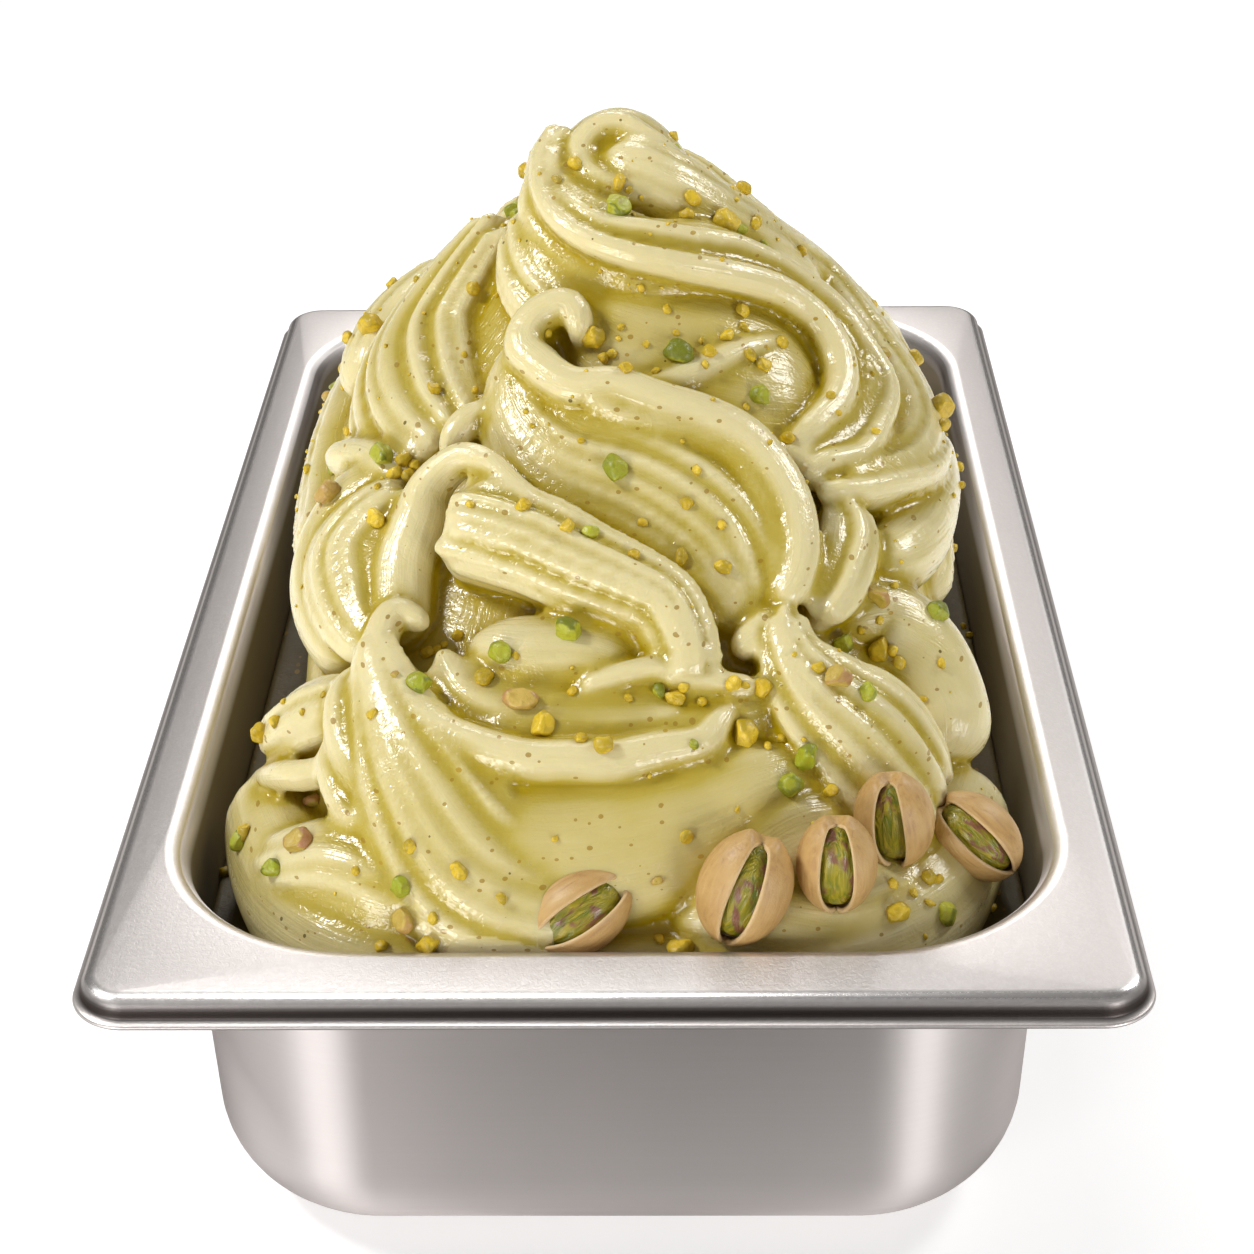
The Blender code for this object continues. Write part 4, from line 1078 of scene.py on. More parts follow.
FOLDS = {
    "cap curl": Fold(
        ((58, 143), (45, 148), (17, 151), (-28, 151), (-39, 149), (-24, 146), (1, 144), (28, 142),
         (62, 137)),
        width=(2.2, 2.8, 3, 3, 2.8, 2.6, 2.6, 2.4, 2), thick=(3, 3, 3, 2.6),
        rise=(1.5, 2.2, 2.4, 2, 1.5),
        ends=(3, 5),
    ),
    "cap face": Fold(
        ((-13, 149), (15, 147), (40, 143), (61, 137), (88, 127), (97, 117)),
        width=(5, 7, 7.5, 7.5, 6, 4), thick=(5, 5.5, 5), rise=(2.6, 3.4, 3, 2),
        ribs=4, groove=0.9,
    ),
    "cap band": Fold(
        ((-80, 149), (-55, 145), (-31, 141), (-9, 138), (11, 135), (35, 133), (54, 127), (65, 120),
         (66, 114), (59, 110), (48, 108), (38, 108), (30, 107)),
        width=(3, 4.5, 5.5, 6.5, 7, 7, 7, 7, 7, 7, 6.5, 6, 5), thick=(5, 6, 6, 6, 6, 5),
        rise=(2.5, 4, 4.5, 4.5, 4.5, 4, 3),
        ribs=6, groove=1.1, strands=True, ends=(5, 6),
    ),
    "cap crest": Fold(
        ((-62, 146), (-44, 143), (-27, 139), (-11, 136), (3, 134), (18, 132), (35, 129), (48, 125),
         (54, 120), (54, 116), (51, 113), (45, 111), (37, 110), (30, 109)),
        width=(1.6, 2, 2.3, 2.6, 3, 3.2, 3, 2.4), thick=(2.2, 2.6, 3, 3, 2.4),
        rise=(4, 6.5, 7.5, 7.5, 7.5, 6.5, 5),
        ends=(4, 6),
    ),
    "cap second crest": Fold(
        ((-49, 147), (-31, 142), (-17, 140), (-3, 138), (11, 137), (27, 135), (40, 133), (50, 130),
         (59, 126), (66, 121), (68, 117), (66, 113), (64, 109), (59, 107), (51, 106), (43, 105),
         (35, 106), (30, 106)),
        width=(1.4, 1.8, 2.2, 2.4, 2.6, 2.6, 2.2), thick=(2, 2.6, 2.8, 2.8, 2.4),
        rise=(4, 6, 6.5, 6.5, 6.5, 6, 5),
        ends=(4, 6),
    ),
    "cap left ribs": Fold(
        ((-54, 143), (-44, 139), (-30, 136), (-12, 133), (4, 131)),
        width=(1.2, 1.8, 2, 1.8, 1.2), thick=(2, 2.4, 2), rise=(4, 4, 2.5, 1),
        ends=(4, 8),
    ),
    "shoulder": Fold(
        ((51, 142), (85, 133), (108, 119), (98, 111), (86, 104), (74, 100), (59, 100), (46, 102),
         (36, 104)),
        width=(5, 7, 8.5, 9, 9, 8, 7, 6, 5), thick=(6, 7, 7, 7, 7, 6, 5),
        rise=(1, 2, 2.5, 3, 4, 4.5, 4.5, 4),
        ribs=6, groove=1.1, strands=True,
    ),
    "shoulder lip": Fold(
        ((75, 95), (59, 97), (46, 100), (37, 102), (31, 104)),
        width=(2, 2.6, 2.6, 2), thick=(2.6, 3, 2.6), rise=(5, 6, 6, 5),
        ends=(4, 5),
    ),
    "scoop": Fold(
        ((-18, 131), (6, 126), (23, 121), (39, 116), (48, 111)),
        width=(6, 14, 19, 17, 8), thick=(5, 6, 7, 6), rise=(0, 1.5, 2.8, 3.4, 2.2),
        ends=(12, 12),
    ),
    "scoop ridge": Fold(
        ((-2, 119), (7, 119), (17, 120), (30, 121), (47, 120)),
        width=(1.4, 2.4, 3, 2.6, 1.4), thick=(2, 2.6, 2.2), rise=(2.6, 3.8, 4.2, 3.6),
        ends=(9, 12),
    ),
    "left shoulder": Fold(
        ((-52, 138), (-33, 133), (-13, 129), (2, 126)),
        width=(5, 8, 8, 5), thick=(5, 5, 4), rise=(2, 1.5, 0.5, -0.5),
        ribs=6, groove=1.1, strands=True,
    ),
    "left comb": Fold(
        ((-93, 134), (-81, 124), (-70, 116), (-52, 112), (-34, 110)),
        width=(7, 13, 15, 14, 10), thick=(7, 8, 8, 7), rise=(0, 1.5, 2, 1.5, 0.5),
        ribs=7, groove=1.7, strands=True, ends=(6, 8),
    ),
    "central sheet": Fold(
        ((-22, 125), (-20, 118), (-10, 112), (4, 108), (12, 103), (15, 98), (16, 93)),
        width=(3.5, 8, 13, 15.5, 15, 12, 6), thick=(4, 7, 8, 8, 8, 8, 5),
        rise=(5, 5, 5, 5.5, 5.5, 5, 4),
        lean=(0, 8, 12, 12, 8), ribs=8, groove=1.2, ends=(5, 6),
    ),
    "central crest": Fold(
        ((-10, 124), (-9, 126), (-12, 128), (-17, 127), (-20, 125), (-20, 122), (-15, 120), (-8, 118),
         (0, 118), (8, 116), (15, 114), (21, 111), (24, 107), (25, 103), (24, 99), (22, 96), (19, 94)),
        width=(1.8, 2.8, 3.2, 3.4, 3.6, 3.8, 4, 4.2, 4.2, 4, 3.4, 2.6),
        thick=(3, 3.6, 3.6, 3.8, 3.8, 3.4, 2.6), rise=(3, 6.5, 7.5, 8, 8, 8.5, 8.5, 8.5, 8, 7, 5),
        ends=(5, 4),
    ),
    "central inner crest": Fold(
        ((-16, 123), (-11, 120), (-3, 116), (6, 114), (14, 112), (19, 109), (21, 104), (21, 100),
         (19, 96)),
        width=(1.2, 1.8, 2, 2, 1.8, 1.4), thick=(2, 2.4, 2.4, 2), rise=(6, 7, 7, 6.5, 6, 5),
        ends=(4, 6),
    ),
    "arc behind": Fold(
        ((-30, 108), (-30, 111), (-28, 114), (-23, 116)),
        width=(2, 2.6, 2.6, 2.4), thick=(3, 3, 3), rise=(4, 4.5, 4, 3),
    ),
    "arch": Fold(
        ((-25, 90), (-27, 93), (-29, 97), (-29, 102), (-28, 105), (-24, 108), (-19, 108), (-14, 106),
         (-9, 104)),
        width=(4.5, 5.2, 5.2, 4.6, 3.4, 2.8, 2.4, 2.2, 2), thick=(5, 5, 4.4, 3.4, 3, 2.6),
        rise=(4.5, 5, 6, 8, 9, 8.5, 8),
        ends=(6, 4),
    ),
    "tongue": Fold(
        ((-23, 102), (-17, 102), (-10, 101), (-4, 99), (2, 97), (6, 95), (8, 91), (8, 88)),
        width=(8, 8.6, 8.4, 7.8, 7, 6.2, 5.2, 4), thick=(7, 7, 7, 6.5, 5.5),
        rise=(8.5, 9, 9, 8.5, 7.5, 5.5),
        lean=(5, 8, 8), ribs=7, groove=1.5, strands=True, ends=(3, 6),
    ),
    "tongue belly": Fold(
        ((-17, 92), (-10, 91), (-3, 91), (4, 90)),
        width=(5, 8, 8, 5), thick=(7, 8, 8, 6), rise=(4, 5.5, 5.5, 3),
    ),
    "left lobe": Fold(
        ((-36, 106), (-45, 102), (-47, 96), (-44, 91), (-36, 89), (-29, 88)),
        width=(5, 8, 9, 9.5, 9, 7), thick=(7, 8, 8, 8, 7), rise=(1, 3, 4, 4, 3.5, 2),
    ),
    "left lobe arcs": Fold(
        ((-34, 104), (-37, 100), (-38, 95), (-33, 91), (-27, 88)),
        width=(4, 6.5, 8, 7, 4), thick=(4, 4.5, 4), rise=(3, 5, 5.5, 5, 3.5),
        ribs=5, groove=1.1, strands=True,
    ),
    "left lobe top": Fold(
        ((-65, 99), (-50, 104), (-40, 105), (-36, 107)),
        width=(3, 4, 4, 3), thick=(4, 4.5, 4), rise=(2, 3, 3, 2),
    ),
    "lower sheet": Fold(
        ((-26, 85), (-21, 78), (-13, 74), (-4, 73), (5, 75), (13, 78), (22, 80)),
        width=(6, 10, 12, 13, 13, 11, 7), thick=(8, 10, 10, 9, 8), rise=(5, 6, 6, 5.5, 4, 1.5),
        lean=(0, 6, 8, 6, 2), ends=(8, 20),
    ),
    "lower crest": Fold(
        ((-21, 92), (-25, 92), (-25, 89), (-23, 86), (-20, 84), (-16, 82), (-13, 81), (-8, 80),
         (-4, 80), (0, 80), (4, 81), (8, 82), (10, 84), (12, 86)),
        width=(2, 2.8, 3.2, 3.4, 3.6, 3.6, 3.6, 3, 2.2), thick=(2.6, 3.2, 3.2, 3, 2),
        rise=(5, 8, 8.5, 8.5, 8.5, 8, 6, 4),
        ends=(3, 9),
    ),
    "lower fan": Fold(
        ((-26, 89), (-21, 83), (-16, 77), (-10, 70), (-3, 67)),
        width=(3, 7, 12, 15, 13), thick=(4, 6, 7, 6), rise=(8, 8.5, 8, 5.5, 2),
        ribs=8, groove=1.1, strands=True,
    ),
    "lower fan edge": Fold(
        ((-28, 86), (-27, 82), (-24, 78), (-19, 74), (-16, 71)),
        width=(2, 3, 3.4, 3, 2), thick=(3, 3.4, 3), rise=(5, 6.5, 7, 6, 4),
    ),
    "valley ribs": Fold(
        ((-19, 90), (-14, 86), (-6, 84), (1, 84), (7, 85)),
        width=(4, 6, 7, 6.5, 3), thick=(5, 5, 5), rise=(3.5, 4, 4, 3.5),
        ribs=3, groove=1.2, strands=True,
    ),
    "valley floor": Fold(
        ((-15, 89), (-5, 87), (5, 87), (12, 86), (18, 87)),
        width=(6, 8, 8, 7, 5), thick=(6, 6, 6), rise=(2.5, 3, 3, 2),
    ),
    "valley lip": Fold(
        ((-4, 87), (-1, 88), (4, 89), (8, 88), (15, 87)),
        width=(1.4, 2, 2.2, 2.2, 1.8), thick=(2.2, 2.4, 2.4), rise=(5, 6, 6, 4.5),
        ends=(4, 4),
    ),
    "valley ridge": Fold(
        ((-13, 84), (-8, 83), (-1, 82), (5, 83), (9, 85)),
        width=(1.4, 1.8, 2, 1.8, 1.4), thick=(2, 2.2, 2), rise=(5, 5.5, 5, 4.5),
        ends=(5, 5),
    ),
    "left loop": Fold(
        ((-26, 79), (-26, 76), (-23, 73), (-21, 72), (-19, 75), (-20, 79), (-23, 82)),
        width=(2, 2.4, 2.4, 2), thick=(2.6, 2.8, 2.6), rise=(5, 5.5, 6.5, 8),
        ends=(3, 3),
    ),
    "right bulb": Fold(
        ((96, 87), (63, 92), (48, 93), (39, 94), (34, 96)),
        width=(5, 6, 6.5, 6, 4), thick=(6, 6, 6, 5), rise=(3.5, 4.5, 5, 4.5, 3),
    ),
    "right comb": Fold(
        ((34, 103), (34, 99), (29, 95), (24, 92)),
        width=(3, 5, 5, 3), thick=(4, 5, 4), rise=(3, 4, 4, 3),
        ribs=3, groove=1.5, strands=True,
    ),
    "right lobe": Fold(
        ((28, 92), (35, 90), (39, 83), (39, 75), (36, 69)),
        width=(4, 8, 9, 9, 8), thick=(6, 8, 8, 8), rise=(2, 3, 5, 6, 6),
    ),
    "right fan": Fold(
        ((20, 94), (19, 90), (21, 85), (25, 79), (29, 69)),
        width=(3, 5, 9.5, 13, 12), thick=(4, 6, 7, 7), rise=(4.5, 5.5, 6, 5, 2),
        ribs=6, groove=1.4, strands=True, ends=(8, 16),
    ),
    "neck web": Fold(
        ((13, 91), (16, 92), (19, 94)),
        width=(2.5, 3, 2.5), thick=(3, 3), rise=(3, 4, 4),
        ends=(3, 3),
    ),
    "front left": Fold(
        ((-36, 52), (-24, 66), (-17, 67), (-12, 65), (-8, 63)),
        width=(6, 9, 9, 6, 3), thick=(8, 8, 7, 5), rise=(5, 6, 5, 2.5, 0.5),
        ribs=4, groove=0.8,
    ),
    "front slope": Fold(
        ((3, 68), (8, 70), (15, 74), (23, 74)),
        width=(7, 10, 11, 7), thick=(7, 8, 8, 7), rise=(0.5, 2, 3, 1),
        ends=(14, 16),
    ),
    "left foot": Fold(
        ((-39, 70), (-32, 79), (-27, 83)),
        width=(5, 6, 5), thick=(6, 6), rise=(3, 4, 4),
        ribs=4, groove=1, strands=True,
    ),
    "left finger": Fold(
        ((-40, 62), (-33, 70), (-28, 74), (-25, 77)),
        width=(1.6, 2.4, 2.6, 2.2), thick=(2.4, 2.8, 2.4), rise=(3, 4.5, 4),
        ends=(4, 5),
    ),
    "front right": Fold(
        ((4, 66), (10, 66), (17, 63), (25, 61), (38, 53)),
        width=(6, 8, 9, 9, 6), thick=(6, 6), rise=(0, 1, 2, 3),
    ),
    "front apron": Fold(
        ((-40, 56), (-20, 58), (0, 57), (20, 58), (40, 56)),
        width=(12, 10, 8, 10, 12), thick=(9, 8, 8, 9), rise=(8, 4, -1, 3, 8),
    ),
    "left flank": Fold(
        ((-62, 84), (-84, 80), (-110, 82), (-132, 88)),
        width=(5, 9, 10, 6), thick=(6, 7, 6), rise=(0, 2, 1), ribs=5, groove=1.5,
    ),
    "left flank upper": Fold(
        ((-95, 100), (-115, 106), (-138, 112)),
        width=(6, 9, 6), thick=(6, 7, 6), rise=(1, 3, 2), ribs=4, groove=1.4,
    ),
    "right flank": Fold(
        ((58, 78), (80, 82), (104, 80), (126, 74)),
        width=(5, 9, 10, 6), thick=(6, 7, 6), rise=(0, 2, 1), ribs=5, groove=1.5,
    ),
    "right flank upper": Fold(
        ((104, 112), (116, 102), (126, 92)),
        width=(6, 8, 6), thick=(6, 7, 6), rise=(2, 3, 1), ribs=4, groove=1.4,
    ),
    "back upper": Fold(
        ((110, 120), (150, 132), (185, 130), (220, 118)),
        width=(6, 10, 11, 7), thick=(6, 7, 6), rise=(2, 3, 2), ribs=5, groove=1.5,
    ),
    "back middle": Fold(
        ((100, 90), (130, 105), (160, 112), (190, 105), (225, 88)),
        width=(8, 14, 16, 14, 8), thick=(7, 8, 8, 7), rise=(2, 3, 3, 2), ribs=6, groove=1.7,
    ),
    "back lower": Fold(
        ((95, 66), (130, 74), (165, 80), (200, 78), (240, 70), (262, 62)),
        width=(6, 10, 12, 12, 10, 6), thick=(6, 7, 7, 6), rise=(2, 3, 3, 2), ribs=5, groove=1.5,
    ),
}


class TubeSet:
    """All the closed tubes that melt together into the gelato."""

    def __init__(self, tubes: Sequence[Tube]) -> None:
        """Number the tubes' points and faces in one run."""
        self.points = np.vstack([tube.rings.reshape(-1, 3) for tube in tubes])
        self.faces: Faces = []
        quads, grain = [], []
        first = 0
        for tube in tubes:
            rows, columns = tube.rings.shape[:2]
            faces = [tuple(first + i for i in face) for face in ring_faces(rows, columns)]
            self.faces += faces
            quads += faces[:-2]
            share = tube.girth / columns
            for row in range(rows - 1):
                start, end = tube.along[row], tube.along[row + 1]
                grain += [(column * share, share, start, end - start) for column in range(columns)]
            first += rows * columns
        self.quads = np.array(quads)
        self.grain = np.array(grain)

    def grain_at(self, places: np.ndarray) -> tuple[np.ndarray, np.ndarray]:
        """How far round and along its own fold each place lies, in millimetres."""
        tree = BVHTree.FromPolygons(self.points.tolist(), self.quads.tolist())
        nearest = np.array([tree.find_nearest(place)[2] for place in places.tolist()])
        corner, beside, _, above = (self.points[self.quads[nearest, k]] for k in range(4))
        step_round, step_along = beside - corner, above - corner
        offset = places - corner
        round_share = np.sum(offset * step_round, 1) / np.maximum(np.sum(step_round**2, 1), 1e-6)
        along_share = np.sum(offset * step_along, 1) / np.maximum(np.sum(step_along**2, 1), 1e-6)
        start, girth, along, length = self.grain[nearest].T
        return (
            start + girth * np.clip(round_share, -0.5, 1.5),
            along + length * np.clip(along_share, -0.5, 1.5),
        )


@dataclass
class Gelato:
    """The body of gelato: how full the pan is, and how finely the surface is worked."""

    pan: Pan
    mound: Mound
    fill_height: float = 46.0
    core_inset: float = 5.0
    voxel: float = 0.9
    soften_rounds: int = 2
    block_foot: float = 18.0
    block_edge: float = 5.0
    block_girth: float = 700.0
    core_girth: float = 300.0
    core_rows: int = 60
    core_columns: int = 160

    SEAM_JUMP = 5
    CREASE_ROUNDS = (14, 70)

    def block(self) -> Tube:
        """The gelato that fills the pan, a little larger than the room for it."""
        half, rings = self.pan.opening, []
        top = self.fill_height
        for z in (self.block_foot, top * 0.7, top - self.block_edge, top):
            inset = self.block_edge if z == top else 0.0
            rings.append(self.pan.ring(half - inset, self.pan.opening_radius - inset, z))
        return Tube(np.array(rings), self.block_girth, np.arange(4.0) * 12)

    def core(self) -> Tube:
        """The mound itself, under the folds."""
        top = self.mound.top
        heights = np.linspace(self.mound.low + 1, top - 0.4, self.core_rows)
        angles = np.linspace(-math.pi, math.pi, self.core_columns, endpoint=False)
        rings = []
        for z in heights:
            inset = min(self.core_inset, max(0.5, (top - z) * 0.35))
            rings.append(self.mound.point(angles, np.full(self.core_columns, z), -inset))
        return Tube(np.array(rings), self.core_girth, heights * 1.6)

    def melted(self, tubes: TubeSet) -> bpy.types.Object:
        """Melt the tubes into one skin, and trim it to the pan."""
        obj = bpy.data.objects.new("gelato_body", mesh_from("gelato_body", tubes.points, tubes.faces))
        bpy.context.scene.collection.objects.link(obj)
        remesh = obj.modifiers.new("merge", "REMESH")
        remesh.mode = "VOXEL"
        remesh.voxel_size = self.voxel * MM
        soften = obj.modifiers.new("soften", "SMOOTH")
        soften.factor = 0.5
        soften.iterations = self.soften_rounds
        apply_modifiers(obj)
        self.keep_largest(obj.data)
        cavity = self.pan.cavity()
        trim = obj.modifiers.new("trim", "BOOLEAN")
        trim.operation = "INTERSECT"
        trim.solver = "EXACT"
        trim.object = cavity
        apply_modifiers(obj)
        bpy.data.objects.remove(cavity)
        obj.data.shade_smooth()
        return obj

    @staticmethod
    def keep_largest(mesh: bpy.types.Mesh) -> None:
        """Drop sealed hollows and loose scraps from a mesh."""
        shape = bmesh.new()
        shape.from_mesh(mesh)
        left, bodies = set(shape.verts), []
        while left:
            edge = [left.pop()]
            body = set()
            while edge:
                vert = edge.pop()
                body.add(vert)
                near = {e.other_vert(vert) for e in vert.link_edges} & left
                left -= near
                edge += near
            bodies.append(body)
        bodies.sort(key=len)
        bmesh.ops.delete(shape, geom=[v for body in bodies[:-1] for v in body], context="VERTS")
        shape.to_mesh(mesh)
        shape.free()

    @classmethod
    def evenness(cls, mesh: bpy.types.Mesh, across: np.ndarray, along: np.ndarray) -> np.ndarray:
        """One where a fold's grain runs on unbroken, nought along the seams between folds."""
        first, second = edges_of(mesh)
        steps = [np.abs(values[first] - values[second]) for values in (across, along)]
        jump = np.maximum(*steps) > cls.SEAM_JUMP
        seam = np.zeros(len(across))
        seam[first[jump]] = 1
        seam[second[jump]] = 1
        for _ in range(2):
            seam = np.maximum(seam, spread(seam, first, second) * 1.5)
        return 1 - np.clip(seam, 0, 1)

    @classmethod
    def depth_of(cls, mesh: bpy.types.Mesh) -> np.ndarray:
        """How deep in a crease each point lies: about 0.2 on crests, 0.9 in creases."""
        points = points_of(mesh)
        first, second = edges_of(mesh)
        normals = np.empty(len(points) * 3)
        mesh.vertices.foreach_get("normal", normals)
        normals = normals.reshape(-1, 3)
        even = points.copy()
        depths = []
        for rounds in cls.CREASE_ROUNDS:
            for _ in range(rounds):
                even = np.stack([spread(even[:, axis], first, second) for axis in range(3)], -1)
            depths.append(np.sum((even - points) * normals, 1))
        return np.clip(0.45 + 0.55 * depths[0] + 0.16 * depths[1], 0.0, 1.0)

    def build(self) -> bpy.types.Object:
        """Build and dress the gelato.

        Returns:
            The piece that stands for the gelato.
        """
        laid = [self.block(), self.core()]
        for number, fold in enumerate(FOLDS.values(), 1):
            laid += fold.tubes(self.mound, number)
        tubes = TubeSet(laid)
        obj = self.melted(tubes)
        mesh = obj.data
        bpy.data.objects.remove(obj)
        across, along = tubes.grain_at(points_of(mesh))
        store(mesh, "across", across)
        store(mesh, "along", along)
        store(mesh, "even", self.evenness(mesh, across, along))
        # drives the painted light on crests and the painted shade in creases
        store(mesh, "deep", self.depth_of(mesh))
        piece = add_piece("gelato_body", mesh, WetGelato().make())
        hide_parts("gelato")
        return piece


# Camera


@dataclass(frozen=True)
class View:
    """The camera: where it stands, in millimetres, how it is turned, and its lens."""

    eye: Point = (9.8, -436.3, 299.8)
    down: float = 29.679
    left: float = 1.239
    roll: float = -0.883
    lens: float = 75.04
    sensor: float = 36.0
    frame_size: float = 1254.0
    nearest: float = 0.02

    def axes(self) -> tuple[Vector, Vector, Vector]:
        """The camera's right, up and forward directions."""
        down, left, roll = (math.radians(a) for a in (self.down, self.left, self.roll))
        level_reach = math.cos(down)
        ahead = Vector((-math.sin(left) * level_reach, math.cos(left) * level_reach, -math.sin(down)))
        level = Vector((math.cos(left), math.sin(left), 0.0))
        upward = level.cross(ahead)
        right = level * math.cos(roll) + upward * math.sin(roll)
        return right, upward * math.cos(roll) - level * math.sin(roll), ahead

    def build(self) -> bpy.types.Object:
        """Stand the camera where the photograph was taken from."""
        right, upward, ahead = self.axes()
        data = bpy.data.cameras.new("camera")
        data.lens = self.lens
        data.sensor_width = self.sensor
        data.clip_start = self.nearest
        camera = bpy.data.objects.new("camera", data)
        bpy.context.scene.collection.objects.link(camera)
        turn = Matrix((right, upward, -ahead)).transposed().to_4x4()
        turn.translation = Vector(self.eye) * MM
        camera.matrix_world = turn
        bpy.context.scene.camera = camera
        return camera

    def ray(self, x: float, y: float) -> Vector:
        """The direction from the camera through a place in the photograph's frame."""
        right, upward, ahead = self.axes()
        focal = self.lens / self.sensor * self.frame_size
        centre = self.frame_size / 2
        return (ahead + right * ((x - centre) / focal) - upward * ((y - centre) / focal)).normalized()


# Chopped pistachio


@dataclass(frozen=True)
class Chip:
    """A piece of chopped pistachio: its place and width in the photograph's frame."""

    x: float
    y: float
    size: float


CHIPS = {
    ChipKind.YELLOW: (
        (576, 164, 14), (619, 183, 14), (629, 190, 8), (641, 198, 6), (692, 198, 15), (686, 215, 13),
        (724, 223, 28), (736, 200, 6), (756, 222, 12), (668, 224, 6), (641, 288, 8), (667, 310, 9),
        (741, 312, 15), (744, 328, 10), (726, 337, 14), (676, 333, 7), (701, 341, 7), (710, 353, 14),
        (705, 365, 8), (749, 355, 12), (591, 337, 24), (547, 333, 10), (621, 327, 8), (646, 345, 8),
        (656, 372, 10), (604, 358, 12), (612, 354, 10), (625, 369, 14), (763, 366, 16), (781, 343, 12),
        (746, 407, 7), (713, 400, 6), (790, 439, 14), (831, 396, 10), (838, 413, 7), (872, 374, 6),
        (875, 432, 9), (953, 496, 6), (473, 289, 13), (475, 391, 8), (464, 355, 7), (434, 390, 14),
        (526, 412, 6), (532, 426, 6), (581, 441, 7), (404, 461, 16), (414, 466, 12), (394, 474, 14),
        (408, 476, 14), (378, 487, 8), (377, 519, 21), (470, 505, 9), (522, 507, 16), (566, 528, 16),
        (642, 523, 10), (697, 470, 10), (687, 504, 12), (722, 525, 9), (634, 555, 12), (681, 558, 15),
        (723, 567, 15), (484, 679, 19), (573, 692, 11), (373, 714, 12), (458, 636, 13), (428, 653, 14),
        (438, 650, 10), (444, 645, 7), (543, 727, 25), (581, 740, 14), (604, 747, 21), (303, 712, 7),
        (284, 702, 7), (276, 722, 13), (262, 733, 19), (225, 873, 12), (356, 871, 9), (411, 847, 14),
        (459, 871, 16), (501, 898, 11), (433, 918, 11), (430, 943, 22), (381, 947, 14), (686, 837, 14),
        (675, 698, 17), (684, 686, 12), (702, 702, 10), (628, 699, 9), (733, 684, 16), (744, 685, 9),
        (762, 688, 19), (743, 737, 27), (767, 747, 10), (782, 738, 11), (804, 740, 6), (831, 790, 14),
        (737, 810, 7), (881, 649, 22), (893, 651, 12), (899, 662, 12), (818, 668, 13), (941, 664, 10),
        (923, 699, 8), (861, 630, 8), (879, 620, 8), (894, 586, 8), (963, 627, 7), (969, 636, 8),
        (897, 914, 21), (892, 884, 12), (928, 878, 15), (938, 880, 10), (913, 893, 10), (929, 903, 9),
        (992, 907, 8), (680, 949, 22), (660, 940, 12), (308, 470, 10), (516, 656, 8), (245, 834, 16),
    ),
    ChipKind.GREEN: (
        (616, 209, 26), (739, 229, 13), (678, 355, 25), (760, 396, 21), (616, 470, 25), (590, 533, 15),
        (567, 632, 26), (418, 685, 23), (502, 653, 21), (241, 842, 22), (274, 868, 21), (402, 886, 20),
        (809, 757, 25), (790, 785, 25), (841, 645, 21), (936, 613, 21), (867, 693, 19), (945, 914, 20),
        (693, 745, 10), (659, 691, 14), (383, 458, 24),
    ),
    ChipKind.SKINNED: (
        (330, 495, 26), (521, 702, 28), (876, 597, 22), (837, 678, 25), (300, 843, 27), (407, 920, 23),
        (313, 803, 17), (657, 881, 10), (557, 180, 9), (395, 675, 8),
    ),
}


